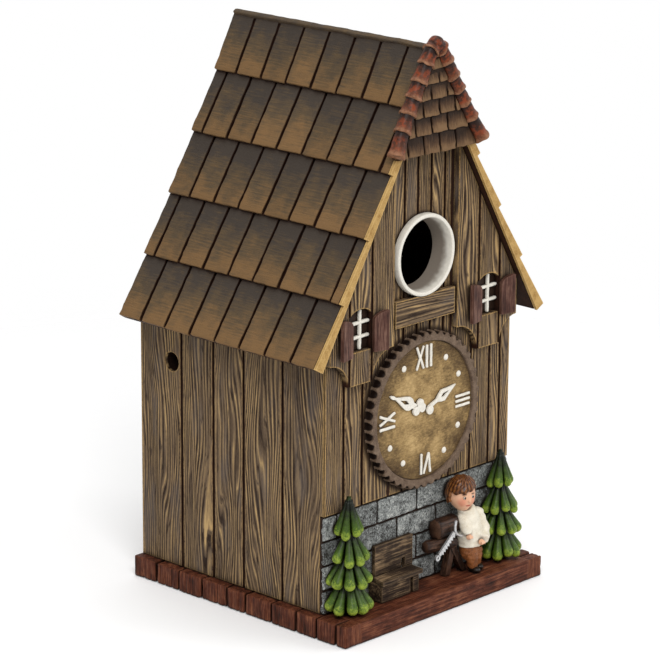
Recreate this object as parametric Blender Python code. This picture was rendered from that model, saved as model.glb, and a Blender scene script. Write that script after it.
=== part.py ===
"""Cuckoo clock birdhouse in painted cast resin, modelled in metres with +Z up.

The origin is the middle of the underside of the base. The front faces -Y, and left and right
are as one looks at the front, so +X is on the right. Each piece is one object.
"""

import math

import bmesh
import bpy
from mathutils import Vector

# Clearances and cutting
GAP = 0.0003  # between pieces that touch
OVERRUN = 0.002  # how far a cutter runs past the face that it opens
EMBED = 0.0005  # how far fused shapes run into each other
MERGE = 1e-7  # points closer than this are one

# Base plinth, and how far it stands out round the house
BASE_WIDTH = 0.138
BASE_DEPTH = 0.140
BASE_HEIGHT = 0.0104
TERRACE_DEPTH = 0.0189
SIDE_LEDGE = 0.0053
BACK_LEDGE = 0.0007
BASE_JOINT_WIDTH = 0.0010
BASE_JOINT_DEPTH = 0.0009
BASE_JOINT_SHARES = (0.394, 0.282, 0.171, 0.051, -0.035, -0.158, -0.273, -0.366, -0.452)
DRAIN_DIAMETER = 0.006
DRAIN_SPACING_X = 0.064
DRAIN_SPACING_Y = 0.070

# Walls
WALL = 0.008
PLANK_GROOVE_WIDTH = 0.0010
PLANK_GROOVE_DEPTH = 0.0008
CENTRE_GROOVE_SHARES = (-0.182, -0.042, 0.100, 0.246)
LOWER_GROOVE_SHARES = (-0.804, -0.609, 0.562, 0.771, 0.890)
SIDE_GROOVE_SHARES = (0.769, 0.593, 0.428, 0.219)
VENT_DIAMETER = 0.0094
VENT_INSET = 0.0213  # from the back face
VENT_DROP = 0.0215  # below the eave

# Stone band
STONE_RISE = 0.0472  # above the base
STONE_THICKNESS = 0.0022
STONE_COURSES = 4
STONE_LENGTH = 0.0271
STONE_SHIFT_EVEN = -0.0006
STONE_SHIFT_ODD = -0.0142
MORTAR_WIDTH = 0.0013
MORTAR_DEPTH = 0.0009

# Roof
ROOF_RISE = 0.1359
EAVE_RISE = 0.0150  # above the foot of the wing panels
EAVE_OVERHANG = 0.01445
FRONT_OVERHANG = 0.0084
SOFFIT_DEPTH = 0.0052
COURSES = 5
COURSE_STEP = 0.0021
COURSE_SAG = 0.0010
SHINGLE_PITCH = 0.01625
SHINGLE_JOINT_WIDTH = 0.0011
SHINGLE_JOINT_DEPTH = 0.0012
ODD_JOINT_INSET = 0.0143  # from the back edge
EVEN_JOINT_INSET = 0.0072
VERGE_THICKNESS = 0.0015

# Gable hood and its tiles
HOOD_HEIGHT = 0.0489
HOOD_PROUD = 0.0019  # of the verge boards
HOOD_LEAN = 0.0020
HOOD_PLATE = 0.0034
HOOD_ROW_STEP = 0.0010
HOOD_ROW_SHARES = (0.0, 0.188, 0.356, 0.505, 0.650, 0.777, 1.0)
HOOD_JOINT_PITCH = 0.0108
HOOD_JOINT_SHIFT = 0.0013
HOOD_JOINT_WIDTH = 0.0007
HOOD_JOINT_DEPTH = 0.0007
TILE_LIP_RADIUS = 0.0042
TILE_NECK_RADIUS = 0.0034
TILE_RAISE = 0.0016
TILE_SET_BACK = 0.0012
TILE_FLARE = 0.0034
TILE_LAP = 0.0012
TILE_LIP_SHARES = (0.037, 0.241, 0.393, 0.530, 0.667, 0.822, 0.945)
TILE_END_SHARE = 0.85

# Entry hole, 32 mm for small garden birds
ENTRY_DIAMETER = 0.032
ENTRY_RISE = 0.0188  # of its middle above the ledge board
ENTRY_FLANGE_RADIUS = 0.0194
ENTRY_SLEEVE_WALL = 0.0020
ENTRY_FLANGE = 0.0034
ENTRY_ROUNDING = 0.0009

# Wing panels, windows and shutters
WING_INNER = 0.0218
WING_THICKNESS = 0.0032
WING_LIP = 0.0002  # past the side wall
WING_DROP = 0.0157  # of its foot below the top of the dial
SCALLOP_WIDTH = 0.0142
SCALLOP_HEIGHT = 0.0135
CORNER_SCALLOP = 0.0120
WINDOW_INNER = 0.0365
WINDOW_WIDTH = 0.0148
WINDOW_LIFT = 0.0156  # of its sill above the foot of the panel
WINDOW_HEIGHT = 0.0156
WINDOW_RISE = 0.0042
BAR_WIDTH = 0.0016
BAR_THICKNESS = 0.0020
BAR_SHARES = (0.41, 0.83)
SHUTTER_WIDTH = 0.0081
SHUTTER_THICKNESS = 0.0019
SHUTTER_DROP = 0.0014
SHUTTER_HINGE_HEIGHT = 0.0148
SHUTTER_FREE_HEIGHT = 0.0186
SHUTTER_ANGLE = 12.0

# Ledge board under the entry hole
LEDGE_WIDTH = 0.0406
LEDGE_RISE = 0.0052  # above the top of the dial
LEDGE_HEIGHT = 0.0126
LEDGE_THICKNESS = 0.0028

# Clock dial
DIAL_CLEARANCE = 0.0002  # above the stone band
DIAL_RADIUS = 0.0329
DIAL_FRAME_WIDTH = 0.0048
DIAL_THICKNESS = 0.0028
DIAL_FRAME_THICKNESS = 0.0040
DIAL_NOTCHES = 46
DIAL_NOTCH_RADIUS = 0.0017
HAND_THICKNESS = 0.0009
HAND_BOSS_THICKNESS = 0.0012
MINUTE_HAND_LENGTH = 0.0273
MINUTE_HAND_ANGLE = 154.0
MINUTE_LEAF_WIDTH = 0.0066
HOUR_HAND_LENGTH = 0.0224
HOUR_HAND_ANGLE = 22.0
HOUR_LEAF_WIDTH = 0.0060
HAND_LOBE_RADIUS = 0.0022
HAND_EYE_SHARE = 0.33
MINUTE_LEAF_SHARES = (
    (0.13, 0.30), (0.36, 0.42), (0.42, 0.86), (0.50, 1.0), (0.60, 0.78),
    (0.74, 0.38), (0.85, 0.14), (0.90, 0.26), (0.95, 0.22), (1.0, 0.0),
)
MINUTE_EYE_SHARES = (0.47, 0.56, 0.72)
MINUTE_LOBE_SHARES = ((0.12, -0.20), (0.20, -0.65), (0.24, 0.55))
HOUR_LEAF_SHARES = ((0.10, 0.30), (0.37, 0.26), (0.48, 0.72), (0.58, 1.0), (0.74, 0.56), (1.0, 0.0))
HOUR_EYE_SHARES = (0.50, 0.59, 0.76)
HOUR_LOBE_SHARES = ((0.11, -0.42),)

# Fir trees; a stand is how far in front of the wall a piece has its middle
TREE_STAND = 0.0049
LEFT_TREE_X = -0.0525
LEFT_TREE_HEIGHT = 0.0556
LEFT_TREE_SPREAD = 0.0120
RIGHT_TREE_X = 0.0530
RIGHT_TREE_HEIGHT = 0.0536
RIGHT_TREE_SPREAD = 0.0113
TREE_TIP_RADIUS = 0.0013
FROND_COUNTS = (6, 8, 8, 9)
FROND_TIP_SHARES = (0.665, 0.451, 0.263, 0.029)
FROND_ROOT_SHARES = (0.97, 0.72, 0.51, 0.33)
FROND_REACH_SHARES = (0.64, 0.83, 0.967, 1.0)
FROND_BULB_SHARES = (0.22, 0.21, 0.23, 0.25)
FROND_PATH_SHARES = (0.16, 0.62, 1.0)
FROND_NECK_SHARE = 0.72
FROND_END_SHARE = 0.45
FROND_DROOP = 0.8
TREE_TURN_SHARE = 0.5
TRUNK_SHARES = ((0.0, 0.55), (0.30, 0.42), (0.50, 0.32), (0.72, 0.22), (1.0, 0.11))

# Bench against the stone band
BENCH_LEFT = -0.0338
BENCH_WIDTH = 0.0254
BENCH_BOX_DEPTH = 0.0084
BENCH_BOX_HEIGHT = 0.0084
BENCH_SLOT_WIDTH = 0.0020
BENCH_SLOT_SHARE = 0.81
SEAT_THICKNESS = 0.0020
SEAT_OVERHANG = 0.0011
SEAT_DEPTH = 0.0082
BACKREST_LEFT = -0.0315
BACKREST_WIDTH = 0.0257
BACKREST_HEIGHT = 0.0146
BACKREST_THICKNESS = 0.0018
BACKREST_SLOT_HEIGHT = 0.0046
BACKREST_SLOT_WIDTH = 0.0027
BACKREST_POST = 0.0050

# Sawhorse and logs
SAWHORSE_STAND = 0.0046
UPPER_LOG_STAND = 0.0048
LOG_END_SHARE = 0.9
SAWHORSE_LEG_WIDTH = 0.0034
SAWHORSE_RIGHT_FOOT = 0.0266
SAWHORSE_RIGHT_HEAD = 0.0170
SAWHORSE_LEFT_FOOT = 0.0152
SAWHORSE_LEFT_HEAD = 0.0192
SAWHORSE_HEIGHT = 0.0160
LOWER_LOG_RADIUS = 0.0031
LOWER_LOG_LEFT = (0.0005, 0.0044, 0.0173)
LOWER_LOG_RIGHT = (0.0175, 0.0079, 0.0173)
UPPER_LOG_RADIUS = 0.0055
UPPER_LOG_HALF_DEPTH = 0.0042
UPPER_LOG_HEIGHT = 0.0243
UPPER_LOG_LEFT = 0.0070
UPPER_LOG_RIGHT = 0.0203

# Saw, with its points as (x, height above the base)
SAW_STAND = 0.0114
SAW_THICKNESS = 0.0010
SAW_HEEL = (0.0032, 0.0145)
SAW_TOE = (0.0134, 0.0233)
SAW_BLADE_WIDTH = 0.0017
SAW_TEETH = 7
SAW_TOOTH_DEPTH = 0.0013
SAW_TOOTH_START_SHARE = 0.6
SAW_RING = (0.0015, 0.0136)
SAW_RING_RADIUS = 0.0015
SAW_RING_BORE = 0.0006
SAW_BOW_RADIUS = 0.0007
SAW_BOW = (
    (0.0148, 0.0285), (0.0142, 0.0261), (0.0143, 0.0238),
    (0.0155, 0.0218), (0.0178, 0.0205), (0.0196, 0.0201),
)

# Figurine of a child sawing, with its points as (x, stand, height above the base)
FIGURE_STAND = 0.0079
HEAD_CENTRE = (0.0220, 0.0077, 0.0393)
HEAD_RADII = (0.0065, 0.0066, 0.0078)
NECK_RADIUS = 0.0023
NECK_FOOT = (0.0252, 0.0079, 0.0288)
HAIR_THICKNESS = 0.0010
HAIR_LIFT = 0.0009
HAIR_FRINGE_SHARE = 0.42
HAIR_NAPE_SHARE = 0.55
HEM_HEIGHT = 0.0128
JUMPER_CENTRE_X = 0.0280
JUMPER_RADII = (0.0060, 0.0067, 0.0063, 0.0052, 0.0039)
JUMPER_HEIGHTS = (0.0128, 0.0183, 0.0243, 0.0293, 0.0320)
JUMPER_LEAN = (0.0, 0.0, -0.0008, -0.0022, -0.0036)
JUMPER_DEPTH_SHARE = 0.86
SLEEVE_RADIUS = 0.0027
CUFF_RADIUS = 0.0020
LEFT_SHOULDER = (0.0228, 0.0079, 0.0278)
LEFT_ELBOW = (0.0222, 0.0111, 0.0228)
LEFT_CUFF = (0.0225, 0.0121, 0.0206)
RIGHT_SHOULDER = (0.0332, 0.0077, 0.0278)
RIGHT_ELBOW = (0.0362, 0.0086, 0.0183)
RIGHT_CUFF = (0.0318, 0.0129, 0.0161)
LEFT_HAND = (0.0222, 0.0127, 0.0192)
RIGHT_HAND = (0.0292, 0.0144, 0.0153)
HAND_RADIUS = 0.0018
WAIST_RADIUS = 0.0052
LEFT_KNEE = (0.0276, 0.0101, 0.0068)
LEFT_ANKLE = (0.0284, 0.0099, 0.0021)
RIGHT_KNEE = (0.0324, 0.0085, 0.0068)
RIGHT_ANKLE = (0.0330, 0.0077, 0.0021)
THIGH_RADIUS = 0.0030
ANKLE_RADIUS = 0.0021
SHOE_LENGTH = 0.0066
SHOE_WIDTH = 0.0042
SHOE_HEIGHT = 0.0030
SHOE_TOP_SHARE = 0.62
HIP_SHARE = 0.8
LIMB_END_SHARE = 0.8

# Clean-out hatch in the back wall
HATCH_OPENING_WIDTH = 0.054
HATCH_OPENING_HEIGHT = 0.056
HATCH_OPENING_FOOT = 0.0180
HATCH_LAP = 0.005
HATCH_THICKNESS = 0.0024
HATCH_CLEARANCE = 0.0004
HATCH_TRAVEL = 0.060
GUIDE_WIDTH = 0.0110
GUIDE_THICKNESS = 0.0015
GUIDE_LAP = 0.0035
GRIP_WIDTH = 0.030
GRIP_HEIGHT = 0.004
GRIP_DEPTH = 0.0012

# Keyhole in the back gable, to hang the box on a screw
KEYHOLE_RISE = 0.0625  # of its middle above the eave
KEYHOLE_DIAMETER = 0.009
KEYHOLE_SLOT_WIDTH = 0.0046
KEYHOLE_SLOT_LENGTH = 0.011

# Sizes that follow from the ones above
FLOOR = BASE_HEIGHT + GAP
HOUSE_WIDTH = BASE_WIDTH - 2 * SIDE_LEDGE
HALF_HOUSE = HOUSE_WIDTH / 2
HOUSE_FRONT = BASE_DEPTH / 2 - TERRACE_DEPTH  # from the origin to the front wall face
HOUSE_BACK = BASE_DEPTH / 2 - BACK_LEDGE  # from the origin to the back wall face
ON_WALL = -HOUSE_FRONT - GAP  # the plane that trim on the front wall is bonded to
STONE_TOP = BASE_HEIGHT + STONE_RISE
DIAL_FRAME_RADIUS = DIAL_RADIUS + DIAL_FRAME_WIDTH
DIAL_HEIGHT = STONE_TOP + DIAL_CLEARANCE + DIAL_FRAME_RADIUS
DIAL_TOP = DIAL_HEIGHT + DIAL_FRAME_RADIUS
LEDGE_FOOT = DIAL_TOP + LEDGE_RISE
LEDGE_TOP = LEDGE_FOOT + LEDGE_HEIGHT
ENTRY_HEIGHT = LEDGE_TOP + ENTRY_RISE
WING_OUTER = HALF_HOUSE + WING_LIP
WING_FOOT = DIAL_TOP - WING_DROP
WINDOW_SILL = WING_FOOT + WINDOW_LIFT
WINDOW_SPRING = WINDOW_SILL + WINDOW_HEIGHT
EAVE_HEIGHT = WING_FOOT + EAVE_RISE
EAVE_REACH = HALF_HOUSE + EAVE_OVERHANG
RIDGE_HEIGHT = EAVE_HEIGHT + ROOF_RISE
ROOF_FRONT = HOUSE_FRONT + FRONT_OVERHANG
ROOF_BACK = HOUSE_BACK - GAP
SLAB_FRONT = ROOF_FRONT - VERGE_THICKNESS - GAP
SLOPE_LENGTH = math.hypot(EAVE_REACH, ROOF_RISE)
COURSE_LENGTH = SLOPE_LENGTH / COURSES
HOOD_FOOT = RIDGE_HEIGHT - HOOD_HEIGHT
HOOD_FRONT = ROOF_FRONT + HOOD_PROUD
TILE_CENTRE = ROOF_FRONT - TILE_SET_BACK
VENT_Y = HOUSE_BACK - VENT_INSET
VENT_HEIGHT = EAVE_HEIGHT - VENT_DROP
KEYHOLE_HEIGHT = EAVE_HEIGHT + KEYHOLE_RISE
TREE_Y = HOUSE_FRONT + TREE_STAND
SAWHORSE_Y = HOUSE_FRONT + SAWHORSE_STAND
UPPER_LOG_Y = HOUSE_FRONT + UPPER_LOG_STAND
SAW_Y = HOUSE_FRONT + SAW_STAND
FIGURE_Y = HOUSE_FRONT + FIGURE_STAND

# Finishes: colour and roughness
RED_BROWN = (0.22, 0.07, 0.04)
WOOD_BROWN = (0.15, 0.11, 0.07)
PALE_WOOD = (0.30, 0.22, 0.13)
DARK_WOOD = (0.045, 0.030, 0.022)
STONE_GREY = (0.25, 0.27, 0.26)
SHINGLE_BROWN = (0.20, 0.15, 0.10)
OCHRE = (0.55, 0.37, 0.13)
OLIVE_BROWN = (0.16, 0.13, 0.07)
TILE_RED = (0.25, 0.07, 0.035)
WARM_WHITE = (0.80, 0.78, 0.72)
SHUTTER_BROWN = (0.14, 0.05, 0.04)
DIAL_OCHRE = (0.42, 0.27, 0.10)
FRAME_BROWN = (0.15, 0.10, 0.08)
FIR_GREEN = (0.06, 0.13, 0.03)
SILVER = (0.75, 0.75, 0.74)
SKIN = (0.75, 0.47, 0.32)
HAIR_BROWN = (0.22, 0.08, 0.02)
CREAM = (0.80, 0.75, 0.64)
TAN = (0.32, 0.12, 0.03)
SHOE_BLACK = (0.02, 0.02, 0.02)
METALLIC_PAINT = 0.6
SHARP_ANGLE = 40.0  # edges sharper than this stay hard where a piece is smooth
MATT = 0.75
SATIN = 0.5
GLOSS = 0.25


def add_object(name, shape):
    """Writes a bmesh into a new object with its normals pointing out."""
    bmesh.ops.remove_doubles(shape, verts=shape.verts, dist=MERGE)
    bmesh.ops.recalc_face_normals(shape, faces=shape.faces)
    mesh = bpy.data.meshes.new(name)
    shape.to_mesh(mesh)
    shape.free()
    made = bpy.data.objects.new(name, mesh)
    bpy.context.scene.collection.objects.link(made)
    return made


def loft(name, first, second):
    """Solid between two outlines that have the same number of points."""
    shape = bmesh.new()
    starts = [shape.verts.new(point) for point in first]
    ends = [shape.verts.new(point) for point in second]
    shape.faces.new(starts)
    shape.faces.new(reversed(ends))
    for index in range(len(starts)):
        follower = (index + 1) % len(starts)
        shape.faces.new((starts[index], ends[index], ends[follower], starts[follower]))
    return add_object(name, shape)


def place(axis, across, up, along):
    """Point of an outline that is drawn across an axis: X gives (y, z), Y gives (x, z), Z gives (x, y)."""
    if axis == "X":
        return Vector((along, across, up))
    if axis == "Y":
        return Vector((across, along, up))
    return Vector((across, up, along))


def prism(name, axis, outline, start, end):
    """Outline carried along an axis from start to end."""
    first = [place(axis, across, up, start) for across, up in outline]
    second = [place(axis, across, up, end) for across, up in outline]
    return loft(name, first, second)


def box(name, low, high):
    """Block between two opposite corners."""
    outline = ((low[0], low[2]), (high[0], low[2]), (high[0], high[2]), (low[0], high[2]))
    return prism(name, "Y", outline, low[1], high[1])


def arc(centre, radii, start, end, steps):
    """Points on an elliptical arc, with its angles in degrees."""
    points = []
    for step in range(steps + 1):
        angle = math.radians(start + (end - start) * step / steps)
        points.append((centre[0] + radii[0] * math.cos(angle), centre[1] + radii[1] * math.sin(angle)))
    return points


def circle(centre, radius, steps):
    return arc(centre, (radius, radius), 0, 360 * (steps - 1) / steps, steps - 1)


def turned(name, profile, centre, steps):
    """Ring turned about an axis along Y through (x, z); the profile is a closed loop of (radius, y)."""
    shape = bmesh.new()
    corners = [shape.verts.new((centre[0] + radius, y, centre[1])) for radius, y in profile]
    edges = [shape.edges.new((corners[index - 1], corners[index])) for index in range(len(corners))]
    bmesh.ops.spin(
        shape,
        geom=corners + edges,
        cent=(centre[0], 0, centre[1]),
        axis=(0, 1, 0),
        angle=math.tau,
        steps=steps,
        use_merge=True,
    )
    return add_object(name, shape)


def limb(name, points, radii, sides, end_share=0.55):
    """Rounded bar through points; a radius is one number or a pair, sideways and upwards."""
    shape = bmesh.new()
    points = [Vector(point) for point in points]
    pairs = [radius if isinstance(radius, tuple) else (radius, radius) for radius in radii]
    starts = (points[1] - points[0]).normalized()
    finish = (points[-1] - points[-2]).normalized()
    inset = (1 - end_share) * min(pairs[0])
    outset = (1 - end_share) * min(pairs[-1])
    points = [points[0] - starts * inset, *points, points[-1] + finish * outset]
    first, last = [tuple(end_share * size for size in pair) for pair in (pairs[0], pairs[-1])]
    pairs = [first, *pairs, last]
    rings = []
    level = Vector((0, 0, 1)) if abs(starts.z) < 0.9 else Vector((0, 1, 0))
    side = starts.cross(level)
    for index, point in enumerate(points):
        before = points[max(index - 1, 0)]
        after = points[min(index + 1, len(points) - 1)]
        along = (after - before).normalized()
        side = (side - along * side.dot(along)).normalized()
        rise = side.cross(along).normalized()
        ring = []
        for step in range(sides):
            angle = math.tau * (step + 0.5) / sides
            sideways = side * (pairs[index][0] * math.cos(angle))
            upwards = rise * (pairs[index][1] * math.sin(angle))
            ring.append(shape.verts.new(point + sideways + upwards))
        rings.append(ring)
    shape.faces.new(rings[0])
    shape.faces.new(reversed(rings[-1]))
    for ring, follower in zip(rings, rings[1:]):
        for step in range(sides):
            other = (step + 1) % sides
            shape.faces.new((ring[step], follower[step], follower[other], ring[other]))
    return add_object(name, shape)


def column(name, axis_points, radii, sides, depth_share=1.0):
    """Upright body of level rings, one at each (x, y, z), flattened front to back by a share."""
    shape = bmesh.new()
    rings = []
    for (x, y, z), radius in zip(axis_points, radii):
        ring = []
        for step in range(sides):
            angle = math.tau * (step + 0.5) / sides
            depth = radius * depth_share * math.sin(angle)
            ring.append(shape.verts.new((x + radius * math.cos(angle), y + depth, z)))
        rings.append(ring)
    shape.faces.new(rings[0])
    shape.faces.new(reversed(rings[-1]))
    for ring, follower in zip(rings, rings[1:]):
        for step in range(sides):
            other = (step + 1) % sides
            shape.faces.new((ring[step], follower[step], follower[other], ring[other]))
    return add_object(name, shape)


def blob(name, centre, radii, segments=12, rings=8):
    """Ellipsoid."""
    shape = bmesh.new()
    bmesh.ops.create_uvsphere(shape, u_segments=segments, v_segments=rings, radius=1)
    for vertex in shape.verts:
        for axis in range(3):
            vertex.co[axis] = centre[axis] + radii[axis] * vertex.co[axis]
    return add_object(name, shape)


def grown(radii, amount):
    return tuple(radius + amount for radius in radii)


def before_wall(point):
    """Point given as (x, stand in front of the wall, height above the base)."""
    x, stand, height = point
    return Vector((x, -HOUSE_FRONT - stand, FLOOR + height))


def hide(helper):
    helper.hide_render = True
    helper.display_type = "WIRE"


def group(name, pieces):
    """Several closed shapes in one helper object."""
    shape = bmesh.new()
    for piece in pieces:
        shape.from_mesh(piece.data)
        bpy.data.objects.remove(piece)
    return add_object(name, shape)


def combine(body, other, operation, crossing=False):
    """Adds a Boolean with a hidden helper; crossing says that the helper's own shapes cross."""
    hide(other)
    modifier = body.modifiers.new(other.name, "BOOLEAN")
    modifier.operation = operation
    modifier.solver = "EXACT"
    modifier.use_self = crossing
    modifier.object = other
    return body


def cut(body, other, crossing=False):
    return combine(body, other, "DIFFERENCE", crossing)


def fused(name, pieces):
    """One body from several overlapping shapes."""
    body = pieces[0]
    body.name = name
    body.data.name = name
    return combine(body, group(name + "_joined", pieces[1:]), "UNION", crossing=True)


def finish(made, colour, roughness, metallic=0.0, smooth=False):
    """Gives a piece its own material and, where it is round, smooth shading."""
    material = bpy.data.materials.new(made.name)
    material.use_nodes = True
    shader = material.node_tree.nodes["Principled BSDF"]
    shader.inputs["Base Color"].default_value = (*colour, 1.0)
    shader.inputs["Roughness"].default_value = roughness
    shader.inputs["Metallic"].default_value = metallic
    made.data.materials.append(material)
    if smooth:
        made.data.shade_smooth()
        made.data.set_sharp_from_angle(angle=math.radians(SHARP_ANGLE))
    return made


def roof_line(x, depth=0.0):
    """Height of the straight roof line at a distance x from the middle, a depth below the line."""
    return RIDGE_HEIGHT - (x * ROOF_RISE + depth * SLOPE_LENGTH) / EAVE_REACH


def roof_reach(height, depth=0.0):
    """Distance from the middle at which the roof line has this height."""
    return ((RIDGE_HEIGHT - height) * EAVE_REACH - depth * SLOPE_LENGTH) / ROOF_RISE


def slope_point(side, run, depth):
    """Point (x, z) on a slope, a run down from the ridge and a depth below the straight line."""
    x = (run * EAVE_REACH - depth * ROOF_RISE) / SLOPE_LENGTH
    z = RIDGE_HEIGHT - (run * ROOF_RISE + depth * EAVE_REACH) / SLOPE_LENGTH
    return side * x, z


def course_sag(run):
    return COURSE_SAG * math.sin(math.pi * run / SLOPE_LENGTH)


def stepped_slope(side, grow=0.0):
    """Outer edge of one slope below the ridge, stepped down one course at a time."""
    points = []
    for course in range(1, COURSES + 1):
        run = course * COURSE_LENGTH
        points.append(slope_point(side, run + grow, course_sag(run) - grow))
        if course < COURSES:
            points.append(slope_point(side, run + grow, course_sag(run) + COURSE_STEP - grow))
    return points


def slope_outline(side):
    """Section of one slope: the stepped top, the square eave and the soffit."""
    inner = GAP / 2
    return [
        (side * inner, roof_line(inner)),
        *stepped_slope(side),
        slope_point(side, SLOPE_LENGTH, SOFFIT_DEPTH),
        (side * inner, roof_line(inner, SOFFIT_DEPTH)),
    ]


def make_base():
    base = box(
        "base_plinth",
        (-BASE_WIDTH / 2, -BASE_DEPTH / 2, 0),
        (BASE_WIDTH / 2, BASE_DEPTH / 2, BASE_HEIGHT),
    )
    cutters = []
    for side in (-1, 1):
        for share in BASE_JOINT_SHARES:
            y = share * BASE_DEPTH
            edges = (side * (BASE_WIDTH / 2 - BASE_JOINT_DEPTH), side * (BASE_WIDTH / 2 + OVERRUN))
            low = (min(edges), y - BASE_JOINT_WIDTH / 2, -OVERRUN)
            high = (max(edges), y + BASE_JOINT_WIDTH / 2, BASE_HEIGHT + OVERRUN)
            cutters.append(box("base_joint", low, high))
        for end in (-1, 1):
            centre = (side * DRAIN_SPACING_X / 2, end * DRAIN_SPACING_Y / 2)
            outline = circle(centre, DRAIN_DIAMETER / 2, 12)
            cutters.append(prism("drain", "Z", outline, -OVERRUN, BASE_HEIGHT + OVERRUN))
    cut(base, group("base_cuts", cutters))
    finish(base, RED_BROWN, MATT)


def gable_outline(half_width, y):
    """Five points of a wall with a gable that meets the soffit."""
    eave = roof_line(half_width, SOFFIT_DEPTH + GAP)
    peak = roof_line(0, SOFFIT_DEPTH + GAP)
    right = ((half_width, FLOOR), (half_width, eave), (0, peak))
    corners = ((-half_width, FLOOR), *right, (-half_width, eave))
    return [Vector((x, y, z)) for x, z in corners]


def stone_rebate(name):
    """Cutter for the rebate that the stone band lies in."""
    return box(
        name,
        (-HALF_HOUSE - OVERRUN, -HOUSE_FRONT - OVERRUN, FLOOR - OVERRUN),
        (HALF_HOUSE + OVERRUN, -HOUSE_FRONT + STONE_THICKNESS + GAP, STONE_TOP + GAP),
    )


def make_front_wall():
    mitre = GAP / math.sqrt(2)
    wall = loft(
        "front_wall",
        gable_outline(HALF_HOUSE - mitre, -HOUSE_FRONT),
        gable_outline(HALF_HOUSE - WALL - mitre, -HOUSE_FRONT + WALL),
    )
    cut(wall, stone_rebate("front_rebate"))
    bore = ENTRY_DIAMETER / 2 + ENTRY_SLEEVE_WALL + GAP
    outline = circle((0, ENTRY_HEIGHT), bore, 32)
    cut(wall, prism("entry_bore", "Y", outline, -HOUSE_FRONT - OVERRUN, -HOUSE_FRONT + WALL + OVERRUN))
    grooves = []
    runs = [(share, HOOD_FOOT) for share in CENTRE_GROOVE_SHARES]
    runs += [(share, WING_FOOT + SCALLOP_HEIGHT) for share in LOWER_GROOVE_SHARES]
    for share, top in runs:
        x = share * HALF_HOUSE
        low = (x - PLANK_GROOVE_WIDTH / 2, -HOUSE_FRONT - OVERRUN, STONE_TOP - EMBED)
        high = (x + PLANK_GROOVE_WIDTH / 2, -HOUSE_FRONT + PLANK_GROOVE_DEPTH, top)
        grooves.append(box("plank_groove", low, high))
    cut(wall, group("front_grooves", grooves))
    finish(wall, WOOD_BROWN, MATT)


def make_side_wall(name, side):
    mitre = GAP / math.sqrt(2)
    inner = HALF_HOUSE - WALL
    ends = []
    for sign, face in ((-1, -HOUSE_FRONT), (1, HOUSE_BACK)):
        outer_y = face - sign * mitre
        inner_y = face - sign * (WALL + mitre)
        ends.append(
            [
                Vector((side * inner, inner_y, FLOOR)),
                Vector((side * HALF_HOUSE, outer_y, FLOOR)),
                Vector((side * HALF_HOUSE, outer_y, roof_line(HALF_HOUSE, SOFFIT_DEPTH + GAP))),
                Vector((side * inner, inner_y, roof_line(inner, SOFFIT_DEPTH + GAP))),
            ]
        )
    wall = loft(name, *ends)
    cut(wall, stone_rebate(name + "_rebate"))
    cutters = []
    for share in SIDE_GROOVE_SHARES:
        y = -HOUSE_FRONT + share * (HOUSE_FRONT + HOUSE_BACK)
        edges = (side * (HALF_HOUSE - PLANK_GROOVE_DEPTH), side * (HALF_HOUSE + OVERRUN))
        low = (min(edges), y - PLANK_GROOVE_WIDTH / 2, FLOOR - OVERRUN)
        high = (max(edges), y + PLANK_GROOVE_WIDTH / 2, EAVE_HEIGHT + OVERRUN)
        cutters.append(box("plank_groove", low, high))
    reach = sorted((side * (inner - OVERRUN), side * (HALF_HOUSE + OVERRUN)))
    cutters.append(prism("vent", "X", circle((VENT_Y, VENT_HEIGHT), VENT_DIAMETER / 2, 20), *reach))
    cut(wall, group(name + "_cuts", cutters))
    finish(wall, WOOD_BROWN, MATT)


def hatch_track_floor():
    """Y of the face that the hatch slides on."""
    return HOUSE_BACK - GUIDE_THICKNESS - 2 * HATCH_CLEARANCE - HATCH_THICKNESS


def hatch_half_width():
    return HATCH_OPENING_WIDTH / 2 + HATCH_LAP


def hatch_foot():
    return HATCH_OPENING_FOOT - HATCH_LAP


def hatch_height():
    return HATCH_OPENING_HEIGHT + 2 * HATCH_LAP


def track_top():
    return hatch_foot() + hatch_height() + HATCH_TRAVEL + HATCH_CLEARANCE


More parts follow.
